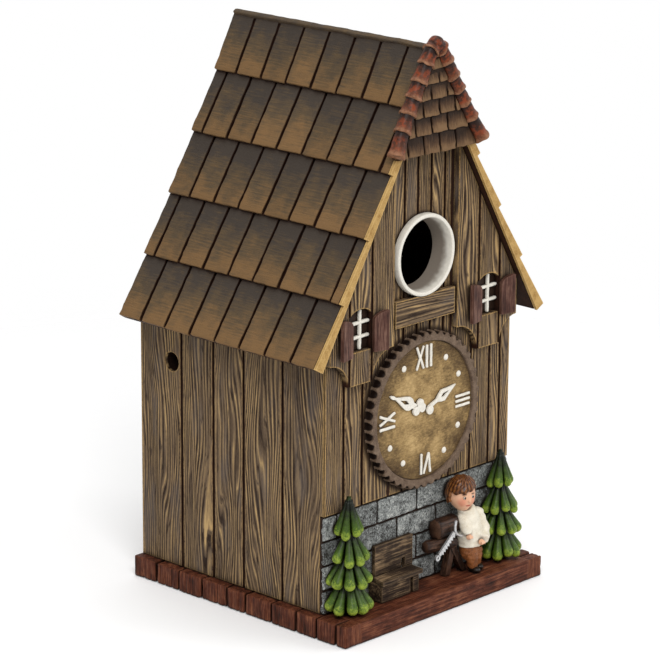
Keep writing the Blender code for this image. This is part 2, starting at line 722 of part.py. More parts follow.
def make_back_wall():
    mitre = GAP / math.sqrt(2)
    wall = loft(
        "back_wall",
        gable_outline(HALF_HOUSE - mitre, HOUSE_BACK),
        gable_outline(HALF_HOUSE - WALL - mitre, HOUSE_BACK - WALL),
    )
    half = hatch_half_width() + HATCH_CLEARANCE
    behind = HOUSE_BACK + OVERRUN
    cut(
        wall,
        box(
            "hatch_track",
            (-half, hatch_track_floor(), hatch_foot() - GAP),
            (half, behind, track_top()),
        ),
    )
    cut(
        wall,
        box(
            "hatch_opening",
            (-HATCH_OPENING_WIDTH / 2, HOUSE_BACK - WALL - OVERRUN, HATCH_OPENING_FOOT),
            (HATCH_OPENING_WIDTH / 2, behind, HATCH_OPENING_FOOT + HATCH_OPENING_HEIGHT),
        ),
    )
    pockets = []
    for side in (-1, 1):
        edges = sorted((side * (half - GUIDE_LAP - GAP), side * (half - GUIDE_LAP + GUIDE_WIDTH + GAP)))
        low = (edges[0], HOUSE_BACK - GUIDE_THICKNESS - GAP, hatch_foot() - GAP)
        high = (edges[1], behind, track_top())
        pockets.append(box("guide_pocket", low, high))
    cut(wall, group("guide_pockets", pockets))
    slot_half = KEYHOLE_SLOT_WIDTH / 2
    slot_top = (0, KEYHOLE_HEIGHT + KEYHOLE_SLOT_LENGTH)
    open_angle = math.degrees(math.asin(KEYHOLE_SLOT_WIDTH / KEYHOLE_DIAMETER))
    radii = (KEYHOLE_DIAMETER / 2, KEYHOLE_DIAMETER / 2)
    hole = arc((0, KEYHOLE_HEIGHT), radii, 90 + open_angle, 450 - open_angle, 14)
    keyhole = hole + arc(slot_top, (slot_half, slot_half), 0, 180, 6)
    cut(wall, prism("keyhole", "Y", keyhole, HOUSE_BACK - WALL - OVERRUN, behind))
    finish(wall, WOOD_BROWN, MATT)


def make_hatch():
    """Panel that slides up in the back wall, with the two guides that hold it."""
    front = hatch_track_floor() + HATCH_CLEARANCE
    back = front + HATCH_THICKNESS
    panel = box(
        "clean_out_hatch",
        (-hatch_half_width(), front, hatch_foot()),
        (hatch_half_width(), back, hatch_foot() + hatch_height()),
    )
    grip_top = hatch_foot() + hatch_height() - HATCH_LAP
    grip = box(
        "grip",
        (-GRIP_WIDTH / 2, back - EMBED, grip_top - GRIP_HEIGHT),
        (GRIP_WIDTH / 2, back + GRIP_DEPTH, grip_top),
    )
    combine(panel, grip, "UNION")
    finish(panel, WOOD_BROWN, MATT)
    half = hatch_half_width() + HATCH_CLEARANCE
    for name, side in (("hatch_guide_left", -1), ("hatch_guide_right", 1)):
        edges = sorted((side * (half - GUIDE_LAP), side * (half - GUIDE_LAP + GUIDE_WIDTH)))
        low = (edges[0], HOUSE_BACK - GUIDE_THICKNESS, hatch_foot())
        high = (edges[1], HOUSE_BACK, track_top() - GAP)
        finish(box(name, low, high), DARK_WOOD, MATT)


def make_stone_band():
    front = -HOUSE_FRONT
    band = box(
        "stone_band",
        (-HALF_HOUSE, front, FLOOR),
        (HALF_HOUSE, front + STONE_THICKNESS, STONE_TOP),
    )
    course_height = (STONE_TOP - BASE_HEIGHT) / STONE_COURSES
    levels = []
    for course in range(1, STONE_COURSES):
        middle = BASE_HEIGHT + course * course_height
        low = (-HALF_HOUSE - OVERRUN, front - OVERRUN, middle - MORTAR_WIDTH / 2)
        high = (HALF_HOUSE + OVERRUN, front + MORTAR_DEPTH, middle + MORTAR_WIDTH / 2)
        levels.append(box("mortar", low, high))
    cut(band, group("level_mortar", levels))
    uprights = []
    for course in range(STONE_COURSES):
        shift = STONE_SHIFT_ODD if course % 2 == 0 else STONE_SHIFT_EVEN
        foot = BASE_HEIGHT + course * course_height
        count = math.ceil(HALF_HOUSE / STONE_LENGTH)
        for number in range(-count, count + 1):
            x = shift + number * STONE_LENGTH
            if abs(x) > HALF_HOUSE - STONE_THICKNESS:
                continue
            low = (x - MORTAR_WIDTH / 2, front - OVERRUN, foot if course else foot - OVERRUN)
            high = (x + MORTAR_WIDTH / 2, front + MORTAR_DEPTH, foot + course_height)
            if course == STONE_COURSES - 1:
                high = (high[0], high[1], high[2] + OVERRUN)
            uprights.append(box("mortar", low, high))
    cut(band, group("upright_mortar", uprights), crossing=True)
    finish(band, STONE_GREY, MATT)


def make_slope(name, side):
    """One stepped and shingled roof slope."""
    slope = prism(name, "Y", slope_outline(side), -SLAB_FRONT, ROOF_BACK)
    cutters = []
    for course in range(COURSES):
        top_run = course * COURSE_LENGTH
        top_depth = course_sag(top_run) + COURSE_STEP
        start = top_run + GAP
        if course == 0:
            top_depth = 0
            start = -OVERRUN
        end = (course + 1) * COURSE_LENGTH + OVERRUN
        end_depth = course_sag(end - OVERRUN)
        outline = [
            slope_point(side, start, top_depth + SHINGLE_JOINT_DEPTH),
            slope_point(side, end, end_depth + SHINGLE_JOINT_DEPTH),
            slope_point(side, end, end_depth - OVERRUN),
            slope_point(side, start, top_depth - OVERRUN),
        ]
        y = ROOF_BACK - (EVEN_JOINT_INSET if course % 2 else ODD_JOINT_INSET)
        while y > -SLAB_FRONT:
            start_y = y - SHINGLE_JOINT_WIDTH / 2
            cutters.append(prism("joint", "Y", outline, start_y, start_y + SHINGLE_JOINT_WIDTH))
            y -= SHINGLE_PITCH
    cut(slope, group(name + "_joints", cutters))
    finish(slope, SHINGLE_BROWN, MATT)


def make_verge(name, side):
    """Thin stepped edging on the front of a slope, up to the hood."""
    verge = prism(name, "Y", slope_outline(side), -ROOF_FRONT, -ROOF_FRONT + VERGE_THICKNESS)
    reach = EAVE_REACH + OVERRUN
    under_hood = box(
        name + "_trim",
        (-reach, -ROOF_FRONT - OVERRUN, HOOD_FOOT - GAP),
        (reach, -ROOF_FRONT + VERGE_THICKNESS + OVERRUN, RIDGE_HEIGHT + OVERRUN),
    )
    cut(verge, under_hood)
    finish(verge, OCHRE, MATT)


def hood_lip(share):
    """Front (y, z) of the hood's lips, which lean back a little towards the ridge."""
    return -(HOOD_FRONT - HOOD_LEAN * share), HOOD_FOOT + HOOD_HEIGHT * share


def make_hood():
    """Shingled triangle that fills the top of the gable, with its core up to the wall."""
    profile = []
    for share, above in zip(HOOD_ROW_SHARES, HOOD_ROW_SHARES[1:]):
        profile.append(hood_lip(share))
        y, z = hood_lip(above)
        profile.append((y + HOOD_ROW_STEP, z))
    back = -HOOD_FRONT + HOOD_PLATE
    profile += [(back, RIDGE_HEIGHT), (back, HOOD_FOOT)]
    plate_reach = roof_reach(HOOD_FOOT, COURSE_STEP)
    hood = prism("gable_hood", "X", profile, -plate_reach, plate_reach)
    front_outline = [
        (0, roof_line(0, COURSE_STEP)),
        (plate_reach, HOOD_FOOT - OVERRUN),
        (-plate_reach, HOOD_FOOT - OVERRUN),
    ]
    triangle = prism("hood_triangle", "Y", front_outline, -HOOD_FRONT - OVERRUN, back + OVERRUN)
    combine(hood, triangle, "INTERSECT")
    core_reach = roof_reach(HOOD_FOOT, SOFFIT_DEPTH + GAP)
    core_outline = [
        (0, roof_line(0, SOFFIT_DEPTH + GAP)),
        (core_reach, HOOD_FOOT),
        (-core_reach, HOOD_FOOT),
    ]
    combine(hood, prism("hood_core", "Y", core_outline, back - EMBED, ON_WALL), "UNION")
    cutters = []
    rows = list(zip(HOOD_ROW_SHARES, HOOD_ROW_SHARES[1:]))[:-1]
    for row, (share, above) in enumerate(rows):
        y_low, z_low = hood_lip(share)
        y_high, z_high = hood_lip(above)
        y_high += HOOD_ROW_STEP
        z_high -= GAP
        outline = [
            (y_low + HOOD_JOINT_DEPTH, z_low - HOOD_JOINT_DEPTH),
            (y_high + HOOD_JOINT_DEPTH, z_high),
            (y_high - OVERRUN, z_high),
            (y_low - OVERRUN, z_low - HOOD_JOINT_DEPTH),
        ]
        shift = HOOD_JOINT_SHIFT - (row % 2) * HOOD_JOINT_PITCH / 2
        reach = roof_reach(z_high) - TILE_LIP_RADIUS
        count = math.ceil(plate_reach / HOOD_JOINT_PITCH)
        for number in range(-count, count + 1):
            x = shift + number * HOOD_JOINT_PITCH
            if abs(x) < reach:
                start = x - HOOD_JOINT_WIDTH / 2
                cutters.append(prism("hood_joint", "X", outline, start, start + HOOD_JOINT_WIDTH))
    cut(hood, group("hood_joints", cutters))
    finish(hood, OLIVE_BROWN, MATT)


def tile_centre(side, share):
    """Point on the line of the rake tiles, at a share of the hood's height."""
    z = HOOD_FOOT + HOOD_HEIGHT * share
    flare = (1 - min(share / TILE_LIP_SHARES[-2], 1)) ** 3
    return Vector((side * roof_reach(z, -TILE_RAISE), -TILE_CENTRE - TILE_FLARE * flare, z))


def clear_of_roof(tile):
    """Cuts a tile to the roof, the verge and the hood, with a gap to each."""
    peak = (0, roof_line(0, -GAP))
    roof = [peak, *stepped_slope(1, GAP), *reversed(stepped_slope(-1, GAP))]
    cut(tile, prism(tile.name + "_roof", "Y", roof, -ROOF_FRONT - GAP, -HOUSE_FRONT + WALL))
    y_foot, z_foot = hood_lip(0)
    y_top, z_top = hood_lip(1)
    z_foot -= OVERRUN
    rows = []
    for y, z, reach in (
        (y_foot - GAP, z_foot, roof_reach(z_foot, -GAP)),
        (y_top - GAP, z_top, GAP),
    ):
        rows += [Vector((-reach, y, z)), Vector((reach, y, z))]
    front = [rows[0], rows[1], rows[3], rows[2]]
    back = [Vector((point.x, -ROOF_FRONT + VERGE_THICKNESS, point.z)) for point in front]
    cut(tile, loft(tile.name + "_hood", front, back))


def make_rake_tiles(name, side):
    """Six tapered half-round tiles, each with its lip over the one below."""
    barrels = []
    for share, above in zip(TILE_LIP_SHARES, TILE_LIP_SHARES[1:]):
        lip = tile_centre(side, share)
        neck = tile_centre(side, above)
        neck += (neck - lip).normalized() * TILE_LAP
        barrels.append(limb("barrel", (lip, neck), (TILE_LIP_RADIUS, TILE_NECK_RADIUS), 10, TILE_END_SHARE))
    tiles = fused(name, barrels)
    apex_lip = tile_centre(side, TILE_LIP_SHARES[-1])
    apex_neck = tile_centre(side, 1)
    clear_of_roof(tiles)
    room = limb(
        name + "_apex_room",
        (apex_lip - (apex_neck - apex_lip).normalized() * GAP, apex_neck),
        (TILE_LIP_RADIUS + GAP + EMBED, TILE_LIP_RADIUS + GAP + EMBED),
        12,
        TILE_END_SHARE,
    )
    cut(tiles, room)
    finish(tiles, TILE_RED, SATIN, smooth=True)


def make_apex_tile():
    barrels = []
    peak = Vector((0, -TILE_CENTRE, roof_line(0, -TILE_RAISE / 2)))
    for side in (-1, 1):
        lip = tile_centre(side, TILE_LIP_SHARES[-1])
        barrels.append(limb("barrel", (lip, peak), (TILE_LIP_RADIUS, TILE_LIP_RADIUS), 12, TILE_END_SHARE))
    tile = fused("apex_tile", barrels)
    clear_of_roof(tile)
    finish(tile, TILE_RED, SATIN, smooth=True)


def make_entry_ring():
    inner = ENTRY_DIAMETER / 2
    front = ON_WALL - ENTRY_FLANGE
    profile = [
        (inner, front + ENTRY_ROUNDING),
        (inner + ENTRY_ROUNDING, front),
        (ENTRY_FLANGE_RADIUS - ENTRY_ROUNDING, front),
        (ENTRY_FLANGE_RADIUS, front + ENTRY_ROUNDING),
        (ENTRY_FLANGE_RADIUS, ON_WALL),
        (inner + ENTRY_SLEEVE_WALL, ON_WALL),
        (inner + ENTRY_SLEEVE_WALL, -HOUSE_FRONT + WALL),
        (inner, -HOUSE_FRONT + WALL),
    ]
    finish(turned("entry_ring", profile, (0, ENTRY_HEIGHT), 40), WARM_WHITE, SATIN, smooth=True)


def window_outline(side, grow=0.0):
    """Arched window opening, on one side of the house."""
    inner = WINDOW_INNER + grow
    outer = WINDOW_INNER + WINDOW_WIDTH - grow
    middle = (inner + outer) / 2
    head = arc((middle, WINDOW_SPRING), ((outer - inner) / 2, WINDOW_RISE - grow), 0, 180, 10)
    outline = [(inner, WINDOW_SILL + grow), (outer, WINDOW_SILL + grow), *head]
    return [(side * x, z) for x, z in outline]


def wing_outline(side):
    """Panel with a quarter-round scallop at each lower corner, up to the soffit and the hood."""
    scallop = arc((WING_INNER, WING_FOOT), (SCALLOP_WIDTH, SCALLOP_HEIGHT), 90, 0, 10)
    corner = arc((WING_OUTER, WING_FOOT), (CORNER_SCALLOP, CORNER_SCALLOP), 180, 90, 8)
    depth = SOFFIT_DEPTH + GAP
    top = HOOD_FOOT - GAP
    shoulder = roof_reach(top, depth)
    eave = (WING_OUTER, roof_line(WING_OUTER, depth))
    outline = [*scallop, *corner, eave, (shoulder, top), (WING_INNER, top)]
    return [(side * x, z) for x, z in outline]


def make_wing(name, side):
    """Panel with a window, and plank joints in line with the window's jambs."""
    back = ON_WALL
    front = back - WING_THICKNESS
    panel = prism(name, "Y", wing_outline(side), front, back)
    cut(panel, prism(name + "_window", "Y", window_outline(side), front - OVERRUN, back + OVERRUN))
    grooves = []
    for jamb in (WINDOW_INNER, WINDOW_INNER + WINDOW_WIDTH):
        x = side * jamb
        low = (x - PLANK_GROOVE_WIDTH / 2, front - OVERRUN, WING_FOOT - OVERRUN)
        high = (x + PLANK_GROOVE_WIDTH / 2, front + PLANK_GROOVE_DEPTH, RIDGE_HEIGHT)
        grooves.append(box("plank_groove", low, high))
    cut(panel, group(name + "_grooves", grooves))
    finish(panel, PALE_WOOD, MATT)


def make_window_bars(name, side):
    """White glazing bars: one upright and two level."""
    back = ON_WALL
    front = back - BAR_THICKNESS
    middle = side * (WINDOW_INNER + WINDOW_WIDTH / 2)
    height = WINDOW_SPRING - WINDOW_SILL
    foot = WINDOW_SILL + GAP
    top = WINDOW_SPRING + WINDOW_RISE - 2 * GAP
    bars = [box("bar", (middle - BAR_WIDTH / 2, front, foot), (middle + BAR_WIDTH / 2, back, top))]
    reach = WINDOW_WIDTH / 2 - GAP
    for share in BAR_SHARES:
        z = WINDOW_SILL + share * height
        low = (middle - reach, front + GAP, z - BAR_WIDTH / 2)
        high = (middle + reach, back - GAP, z + BAR_WIDTH / 2)
        bars.append(box("bar", low, high))
    finish(fused(name, bars), WARM_WHITE, SATIN)


def make_shutter(name, hinge, direction):
    """Board that stands open beside a window; direction is the way it reaches along X."""
    angle = math.radians(SHUTTER_ANGLE)
    foot = WINDOW_SILL - SHUTTER_DROP
    shoulder = foot + SHUTTER_HINGE_HEIGHT
    rise = SHUTTER_FREE_HEIGHT - SHUTTER_HINGE_HEIGHT
    crown = arc((SHUTTER_WIDTH, shoulder), (SHUTTER_WIDTH, rise), 90, 180, 6)
    outline = [(0, foot), (SHUTTER_WIDTH, foot), *crown]
    hinge_y = ON_WALL - WING_THICKNESS - GAP
    sides = []
    for depth in (0, SHUTTER_THICKNESS):
        face = []
        for width, z in outline:
            x = hinge + direction * (width * math.cos(angle) - depth * math.sin(angle))
            y = hinge_y - width * math.sin(angle) - depth * math.cos(angle)
            face.append(Vector((x, y, z)))
        sides.append(face)
    finish(loft(name, *sides), SHUTTER_BROWN, SATIN)


def make_ledge():
    ledge = box(
        "ledge_board",
        (-LEDGE_WIDTH / 2, ON_WALL - LEDGE_THICKNESS, LEDGE_FOOT),
        (LEDGE_WIDTH / 2, ON_WALL, LEDGE_TOP),
    )
    outline = circle((0, ENTRY_HEIGHT), ENTRY_FLANGE_RADIUS + GAP, 64)
    front = ON_WALL - LEDGE_THICKNESS - OVERRUN
    ring_room = prism("ledge_ring_room", "Y", outline, front, ON_WALL + OVERRUN)
    cut(ledge, ring_room)
    finish(ledge, PALE_WOOD, MATT)


def make_dial():
    """Dial plate and the notched frame round it."""
    centre = (0, DIAL_HEIGHT)
    face = prism("dial_face", "Y", circle(centre, DIAL_RADIUS, 64), ON_WALL - DIAL_THICKNESS, ON_WALL)
    finish(face, DIAL_OCHRE, MATT, smooth=True)
    outline = []
    bite = math.degrees(DIAL_NOTCH_RADIUS / DIAL_FRAME_RADIUS)
    for notch in range(DIAL_NOTCHES):
        middle = 360 * notch / DIAL_NOTCHES
        turn = math.radians(middle)
        hollow = (DIAL_FRAME_RADIUS * math.cos(turn), DIAL_HEIGHT + DIAL_FRAME_RADIUS * math.sin(turn))
        radii = (DIAL_NOTCH_RADIUS, DIAL_NOTCH_RADIUS)
        outline += arc(hollow, radii, middle - 90 - bite, middle - 270 + bite, 4)
    frame = prism("dial_frame", "Y", outline, ON_WALL - DIAL_FRAME_THICKNESS, ON_WALL)
    hole = prism(
        "dial_hole",
        "Y",
        circle(centre, DIAL_RADIUS + GAP, 64),
        ON_WALL - DIAL_FRAME_THICKNESS - OVERRUN,
        ON_WALL + OVERRUN,
    )
    cut(frame, hole)
    finish(frame, FRAME_BROWN, MATT)


def hand_point(angle, along, across):
    turn = math.radians(angle)
    x = along * math.cos(turn) - across * math.sin(turn)
    return x, DIAL_HEIGHT + along * math.sin(turn) + across * math.cos(turn)


def make_hand(name, angle, length, width, half_outline, hole_shares, lobe_shares):
    """Pierced leaf hand; its shares are of the length and of half the leaf's width."""
    back = ON_WALL - DIAL_THICKNESS - GAP
    front = back - HAND_THICKNESS
    upper = [(length * along, width / 2 * across) for along, across in half_outline]
    lower = [(along, -across) for along, across in reversed(upper[:-1])]
    outline = [hand_point(angle, along, across) for along, across in upper + lower]
    pieces = [prism("leaf", "Y", outline, front, back)]
    for along, across in lobe_shares:
        disc = circle(hand_point(angle, length * along, width / 2 * across), HAND_LOBE_RADIUS, 16)
        pieces.append(prism("lobe", "Y", disc, back - HAND_BOSS_THICKNESS, back - GAP))
    hand = fused(name, pieces)
    start, middle, end = (share * length for share in hole_shares)
    half = width / 2 * HAND_EYE_SHARE
    points = ((start, 0), (middle, half), (end, 0), (middle, -half))
    hole = [hand_point(angle, along, across) for along, across in points]
    cut(hand, prism(name + "_eye", "Y", hole, front - OVERRUN, back + OVERRUN))
    finish(hand, WARM_WHITE, SATIN)


def make_hands():
    make_hand(
        "minute_hand",
        MINUTE_HAND_ANGLE,
        MINUTE_HAND_LENGTH,
        MINUTE_LEAF_WIDTH,
        MINUTE_LEAF_SHARES,
        MINUTE_EYE_SHARES,
        MINUTE_LOBE_SHARES,
    )
    make_hand(
        "hour_hand",
        HOUR_HAND_ANGLE,
        HOUR_HAND_LENGTH,
        HOUR_LEAF_WIDTH,
        HOUR_LEAF_SHARES,
        HOUR_EYE_SHARES,
        HOUR_LOBE_SHARES,
    )


def behind_front(name):
    """Cutter for what would reach into the front wall."""
    return box(
        name,
        (-BASE_WIDTH, ON_WALL, -OVERRUN),
        (BASE_WIDTH, HOUSE_BACK, RIDGE_HEIGHT),
    )


def make_tree(name, x, height, spread, turn):
    """Fir of four tiers of drooping club-shaped fronds round a trunk, flat where it meets the wall."""
    axis = Vector((x, -TREE_Y, FLOOR))
    steps = [(axis.x, axis.y, axis.z + share * height) for share, _ in TRUNK_SHARES]
    radii = [max(share * spread, TREE_TIP_RADIUS) for _, share in TRUNK_SHARES]
    pieces = [column("trunk", steps, radii, 8)]
    for tier, count in enumerate(FROND_COUNTS):
        bulb = FROND_BULB_SHARES[tier] * spread
        reach = FROND_REACH_SHARES[tier] * spread - bulb
        root_height = FROND_ROOT_SHARES[tier] * height
        tip_height = FROND_TIP_SHARES[tier] * height + bulb
        for number in range(count):
            angle = math.tau * (number + turn * tier) / count - math.pi / 2
            away = Vector((math.cos(angle), math.sin(angle), 0))
            if axis.y + away.y * reach > ON_WALL + bulb / 2:
                continue
            path = []
            for share in FROND_PATH_SHARES:
                drop = root_height + (tip_height - root_height) * share**FROND_DROOP
                path.append(axis + away * (reach * share) + Vector((0, 0, drop)))
            radii = (TREE_TIP_RADIUS, bulb * FROND_NECK_SHARE, bulb)
            pieces.append(limb("frond", path, radii, 6, FROND_END_SHARE))
    tree = fused(name, pieces)
    cut(tree, behind_front(name + "_wall"))
    finish(tree, FIR_GREEN, GLOSS, smooth=True)


def make_bench():
    """Box base with a slot, a seat board and a notched backrest."""
    back = ON_WALL
    top = FLOOR + BENCH_BOX_HEIGHT
    base = box(
        "bench_base",
        (BENCH_LEFT, back - BENCH_BOX_DEPTH, FLOOR),
        (BENCH_LEFT + BENCH_WIDTH, back, top),
    )
    slot_x = BENCH_LEFT + BENCH_SLOT_SHARE * BENCH_WIDTH
    slot = box(
        "bench_slot",
        (slot_x - BENCH_SLOT_WIDTH / 2, back - BENCH_BOX_DEPTH - OVERRUN, FLOOR - OVERRUN),
        (slot_x + BENCH_SLOT_WIDTH / 2, back - BENCH_BOX_DEPTH / 2, top - SEAT_THICKNESS / 2),
    )
    cut(base, slot)
    finish(base, DARK_WOOD, SATIN)
    seat_foot = top + GAP
    seat_back = back - BACKREST_THICKNESS - GAP
    left = BENCH_LEFT - SEAT_OVERHANG
    right = BENCH_LEFT + BENCH_WIDTH + SEAT_OVERHANG / 2
    front = seat_back - SEAT_DEPTH
    rear = [(right + SEAT_OVERHANG / 2, seat_back), (left + 2 * SEAT_OVERHANG, seat_back)]
    outline = [(left, front), (right, front), *rear]
    finish(prism("bench_seat", "Z", outline, seat_foot, seat_foot + SEAT_THICKNESS), DARK_WOOD, SATIN)
    backrest_top = seat_foot + SEAT_THICKNESS + BACKREST_HEIGHT
    backrest = box(
        "bench_back",
        (BACKREST_LEFT, back - BACKREST_THICKNESS, seat_foot),
        (BACKREST_LEFT + BACKREST_WIDTH, back, backrest_top),
    )
    notch_right = BACKREST_LEFT + BACKREST_WIDTH - BACKREST_POST
    notch = box(
        "bench_notch",
        (notch_right - BACKREST_SLOT_WIDTH, back - BACKREST_THICKNESS - OVERRUN, seat_foot - OVERRUN),
        (notch_right, back + OVERRUN, seat_foot + SEAT_THICKNESS + BACKREST_SLOT_HEIGHT),
    )
    cut(backrest, notch)
    finish(backrest, DARK_WOOD, SATIN)


def lower_log(name, grow=0.0):
    ends = (before_wall(LOWER_LOG_LEFT), before_wall(LOWER_LOG_RIGHT))
    return limb(name, ends, (LOWER_LOG_RADIUS + grow, LOWER_LOG_RADIUS + grow), 12, LOG_END_SHARE)


def make_logs():
    log = lower_log("lower_log")
    cut(log, behind_front("lower_log_wall"))
    finish(log, DARK_WOOD, MATT, smooth=True)
    height = FLOOR + UPPER_LOG_HEIGHT
    ends = ((UPPER_LOG_LEFT, -UPPER_LOG_Y, height), (UPPER_LOG_RIGHT, -UPPER_LOG_Y, height))
    size = (UPPER_LOG_HALF_DEPTH, UPPER_LOG_RADIUS)
    upper = limb("upper_log", ends, (size, size), 14, LOG_END_SHARE)
    cut(upper, lower_log("upper_log_seat", GAP))
    cut(upper, behind_front("upper_log_wall"))
    cut(upper, jumper_shape("upper_log_jumper", GAP))
    finish(upper, DARK_WOOD, MATT, smooth=True)


def make_sawhorse():
    """Crossed legs that carry the lower log."""
    half = SAWHORSE_LEG_WIDTH / 2
    pieces = []
    for lean, (foot, head) in enumerate(
        ((SAWHORSE_RIGHT_FOOT, SAWHORSE_RIGHT_HEAD), (SAWHORSE_LEFT_FOOT, SAWHORSE_LEFT_HEAD))
    ):
        outline = [
            (foot - half, FLOOR),
            (foot + half, FLOOR),
            (head + half, FLOOR + SAWHORSE_HEIGHT),
            (head - half, FLOOR + SAWHORSE_HEIGHT),
        ]
        front = -SAWHORSE_Y - half + lean * EMBED
        pieces.append(prism("leg", "Y", outline, front, front + SAWHORSE_LEG_WIDTH))
    horse = fused("sawhorse", pieces)
    cut(horse, lower_log("sawhorse_seat", GAP))
    finish(horse, DARK_WOOD, SATIN)


def above_base(points):
    """The (x, z) of points given as (x, height above the base)."""
    return [Vector((x, FLOOR + height)) for x, height in points]


def bow_path():
    """Points along the middle of the saw's bow."""
    return [(x, -SAW_Y + SAW_THICKNESS / 2, z) for x, z in above_base(SAW_BOW)]


def make_saw():
    """Toothed blade with its ring at the heel, and the bow that the child holds."""
    front = -SAW_Y
    back = front + SAW_THICKNESS
    heel, toe, ring_centre = above_base((SAW_HEEL, SAW_TOE, SAW_RING))
    along = toe - heel
    length = along.length
    along.normalize()
    across = Vector((-along.y, along.x))
    pitch = length / (SAW_TEETH + 1)
    outline = [heel + across * (SAW_BLADE_WIDTH / 2), heel - across * (SAW_BLADE_WIDTH / 2)]
    for tooth in range(SAW_TEETH):
        root = heel + along * (pitch * (tooth + SAW_TOOTH_START_SHARE)) - across * (SAW_BLADE_WIDTH / 2)
        outline.append(root)
        outline.append(root + along * (pitch / 2) - across * SAW_TOOTH_DEPTH)
    tip = heel + along * length
    outline += [tip - across * (SAW_BLADE_WIDTH / 2), tip + across * (SAW_BLADE_WIDTH / 2)]
    blade = prism("blade", "Y", [tuple(point) for point in outline], front, back)
    ring = circle(ring_centre, SAW_RING_RADIUS, 14)
    knob = prism("ring", "Y", ring, front - EMBED, back - EMBED / 2)
    neck = limb(
        "neck",
        ((ring_centre.x, (front + back) / 2, ring_centre.y), (heel.x, (front + back) / 2, heel.y)),
        (SAW_BOW_RADIUS / 2, SAW_BOW_RADIUS / 2),
        6,
    )
    saw = fused("saw_blade", [blade, knob, neck])
    bore = prism("ring_bore", "Y", circle(ring_centre, SAW_RING_BORE, 8), front - OVERRUN, back + OVERRUN)
    cut(saw, bore)
    finish(saw, SILVER, SATIN, METALLIC_PAINT)
    bow = limb("saw_bow", bow_path(), [SAW_BOW_RADIUS] * len(SAW_BOW), 8)
    finish(bow, SILVER, SATIN, METALLIC_PAINT, smooth=True)


def head_shape(name, grow=0.0):
    throat = before_wall(HEAD_CENTRE)
    skull = blob("skull", throat, grown(HEAD_RADII, grow), 14, 10)
    throat.z -= HEAD_RADII[2] / 2
    neck = limb("neck", (throat, before_wall(NECK_FOOT)), (NECK_RADIUS + grow, NECK_RADIUS + grow), 10)
    return fused(name, [skull, neck])


def make_head():
    head = head_shape("figure_head")
    finish(head, SKIN, SATIN, smooth=True)
    x, y, z = before_wall(HEAD_CENTRE)
    hair = blob(
        "figure_hair",
        (x, y, z + HAIR_LIFT),
        grown(HEAD_RADII, HAIR_THICKNESS),
        16,
        12,
    )
    cut(hair, blob("hair_room", (x, y, z), grown(HEAD_RADII, GAP), 14, 10))
    reach = HEAD_RADII[0] + HEAD_RADII[2]
    fringe = z + HAIR_FRINGE_SHARE * HEAD_RADII[2]
    nape = z - HAIR_NAPE_SHARE * HEAD_RADII[2]
    opening = prism(
        "hair_face",
        "X",
        ((y - reach, fringe), (y - reach, z - reach), (y + reach, z - reach), (y + reach, nape), (y, nape)),
        x - reach,
        x + reach,
    )
    cut(hair, opening)
    cut(hair, behind_front("hair_wall"))
    finish(hair, HAIR_BROWN, GLOSS, smooth=True)


def jumper_shape(name, grow=0.0):
    centres = []
    for lean, height in zip(JUMPER_LEAN, JUMPER_HEIGHTS):
        centres.append((JUMPER_CENTRE_X + lean, -FIGURE_Y, FLOOR + height))
    x, y, z = centres[0]
    centres[0] = (x, y, z - grow)
    body = column("body", centres, grown(JUMPER_RADII, grow), 14, JUMPER_DEPTH_SHARE)
    size = SLEEVE_RADIUS + grow
    cuff = CUFF_RADIUS + grow
    sleeves = []
    for points in ((LEFT_SHOULDER, LEFT_ELBOW, LEFT_CUFF), (RIGHT_SHOULDER, RIGHT_ELBOW, RIGHT_CUFF)):
        path = [before_wall(point) for point in points]
        sleeves.append(limb("sleeve", path, (size, size, cuff), 8, LIMB_END_SHARE))
    return fused(name, [body, *sleeves])


def make_body():
    jumper = jumper_shape("figure_jumper")
    cut(jumper, head_shape("jumper_neck", GAP))
    finish(jumper, CREAM, SATIN, smooth=True)
    for name, centre in (("figure_hand_left", LEFT_HAND), ("figure_hand_right", RIGHT_HAND)):
        hand = blob(name, before_wall(centre), (HAND_RADIUS, HAND_RADIUS, HAND_RADIUS), 10, 8)
        cut(hand, jumper_shape(name + "_cuff", GAP))
        cut(hand, limb(name + "_bow", bow_path(), [SAW_BOW_RADIUS + GAP] * len(SAW_BOW), 8))
        cut(hand, lower_log(name + "_log", GAP))
        finish(hand, SKIN, SATIN, smooth=True)


def shoe(name, ankle, grow=0.0):
    """Rounded shoe with a flat sole, toe to the front."""
    x, y, _ = before_wall(ankle)
    middle = y - (SHOE_LENGTH - SHOE_WIDTH) / 2
    sole = FLOOR - grow
    upper = FLOOR + SHOE_HEIGHT + grow
    half = SHOE_WIDTH / 2 + grow
    outlines = []
    for shrink, z in ((1, sole), (SHOE_TOP_SHARE, upper)):
        radii = (half * shrink, (SHOE_LENGTH / 2 + grow) * shrink)
        outlines.append([Vector((px, py, z)) for px, py in arc((x, middle), radii, 0, 330, 11)])
    return loft(name, *outlines)


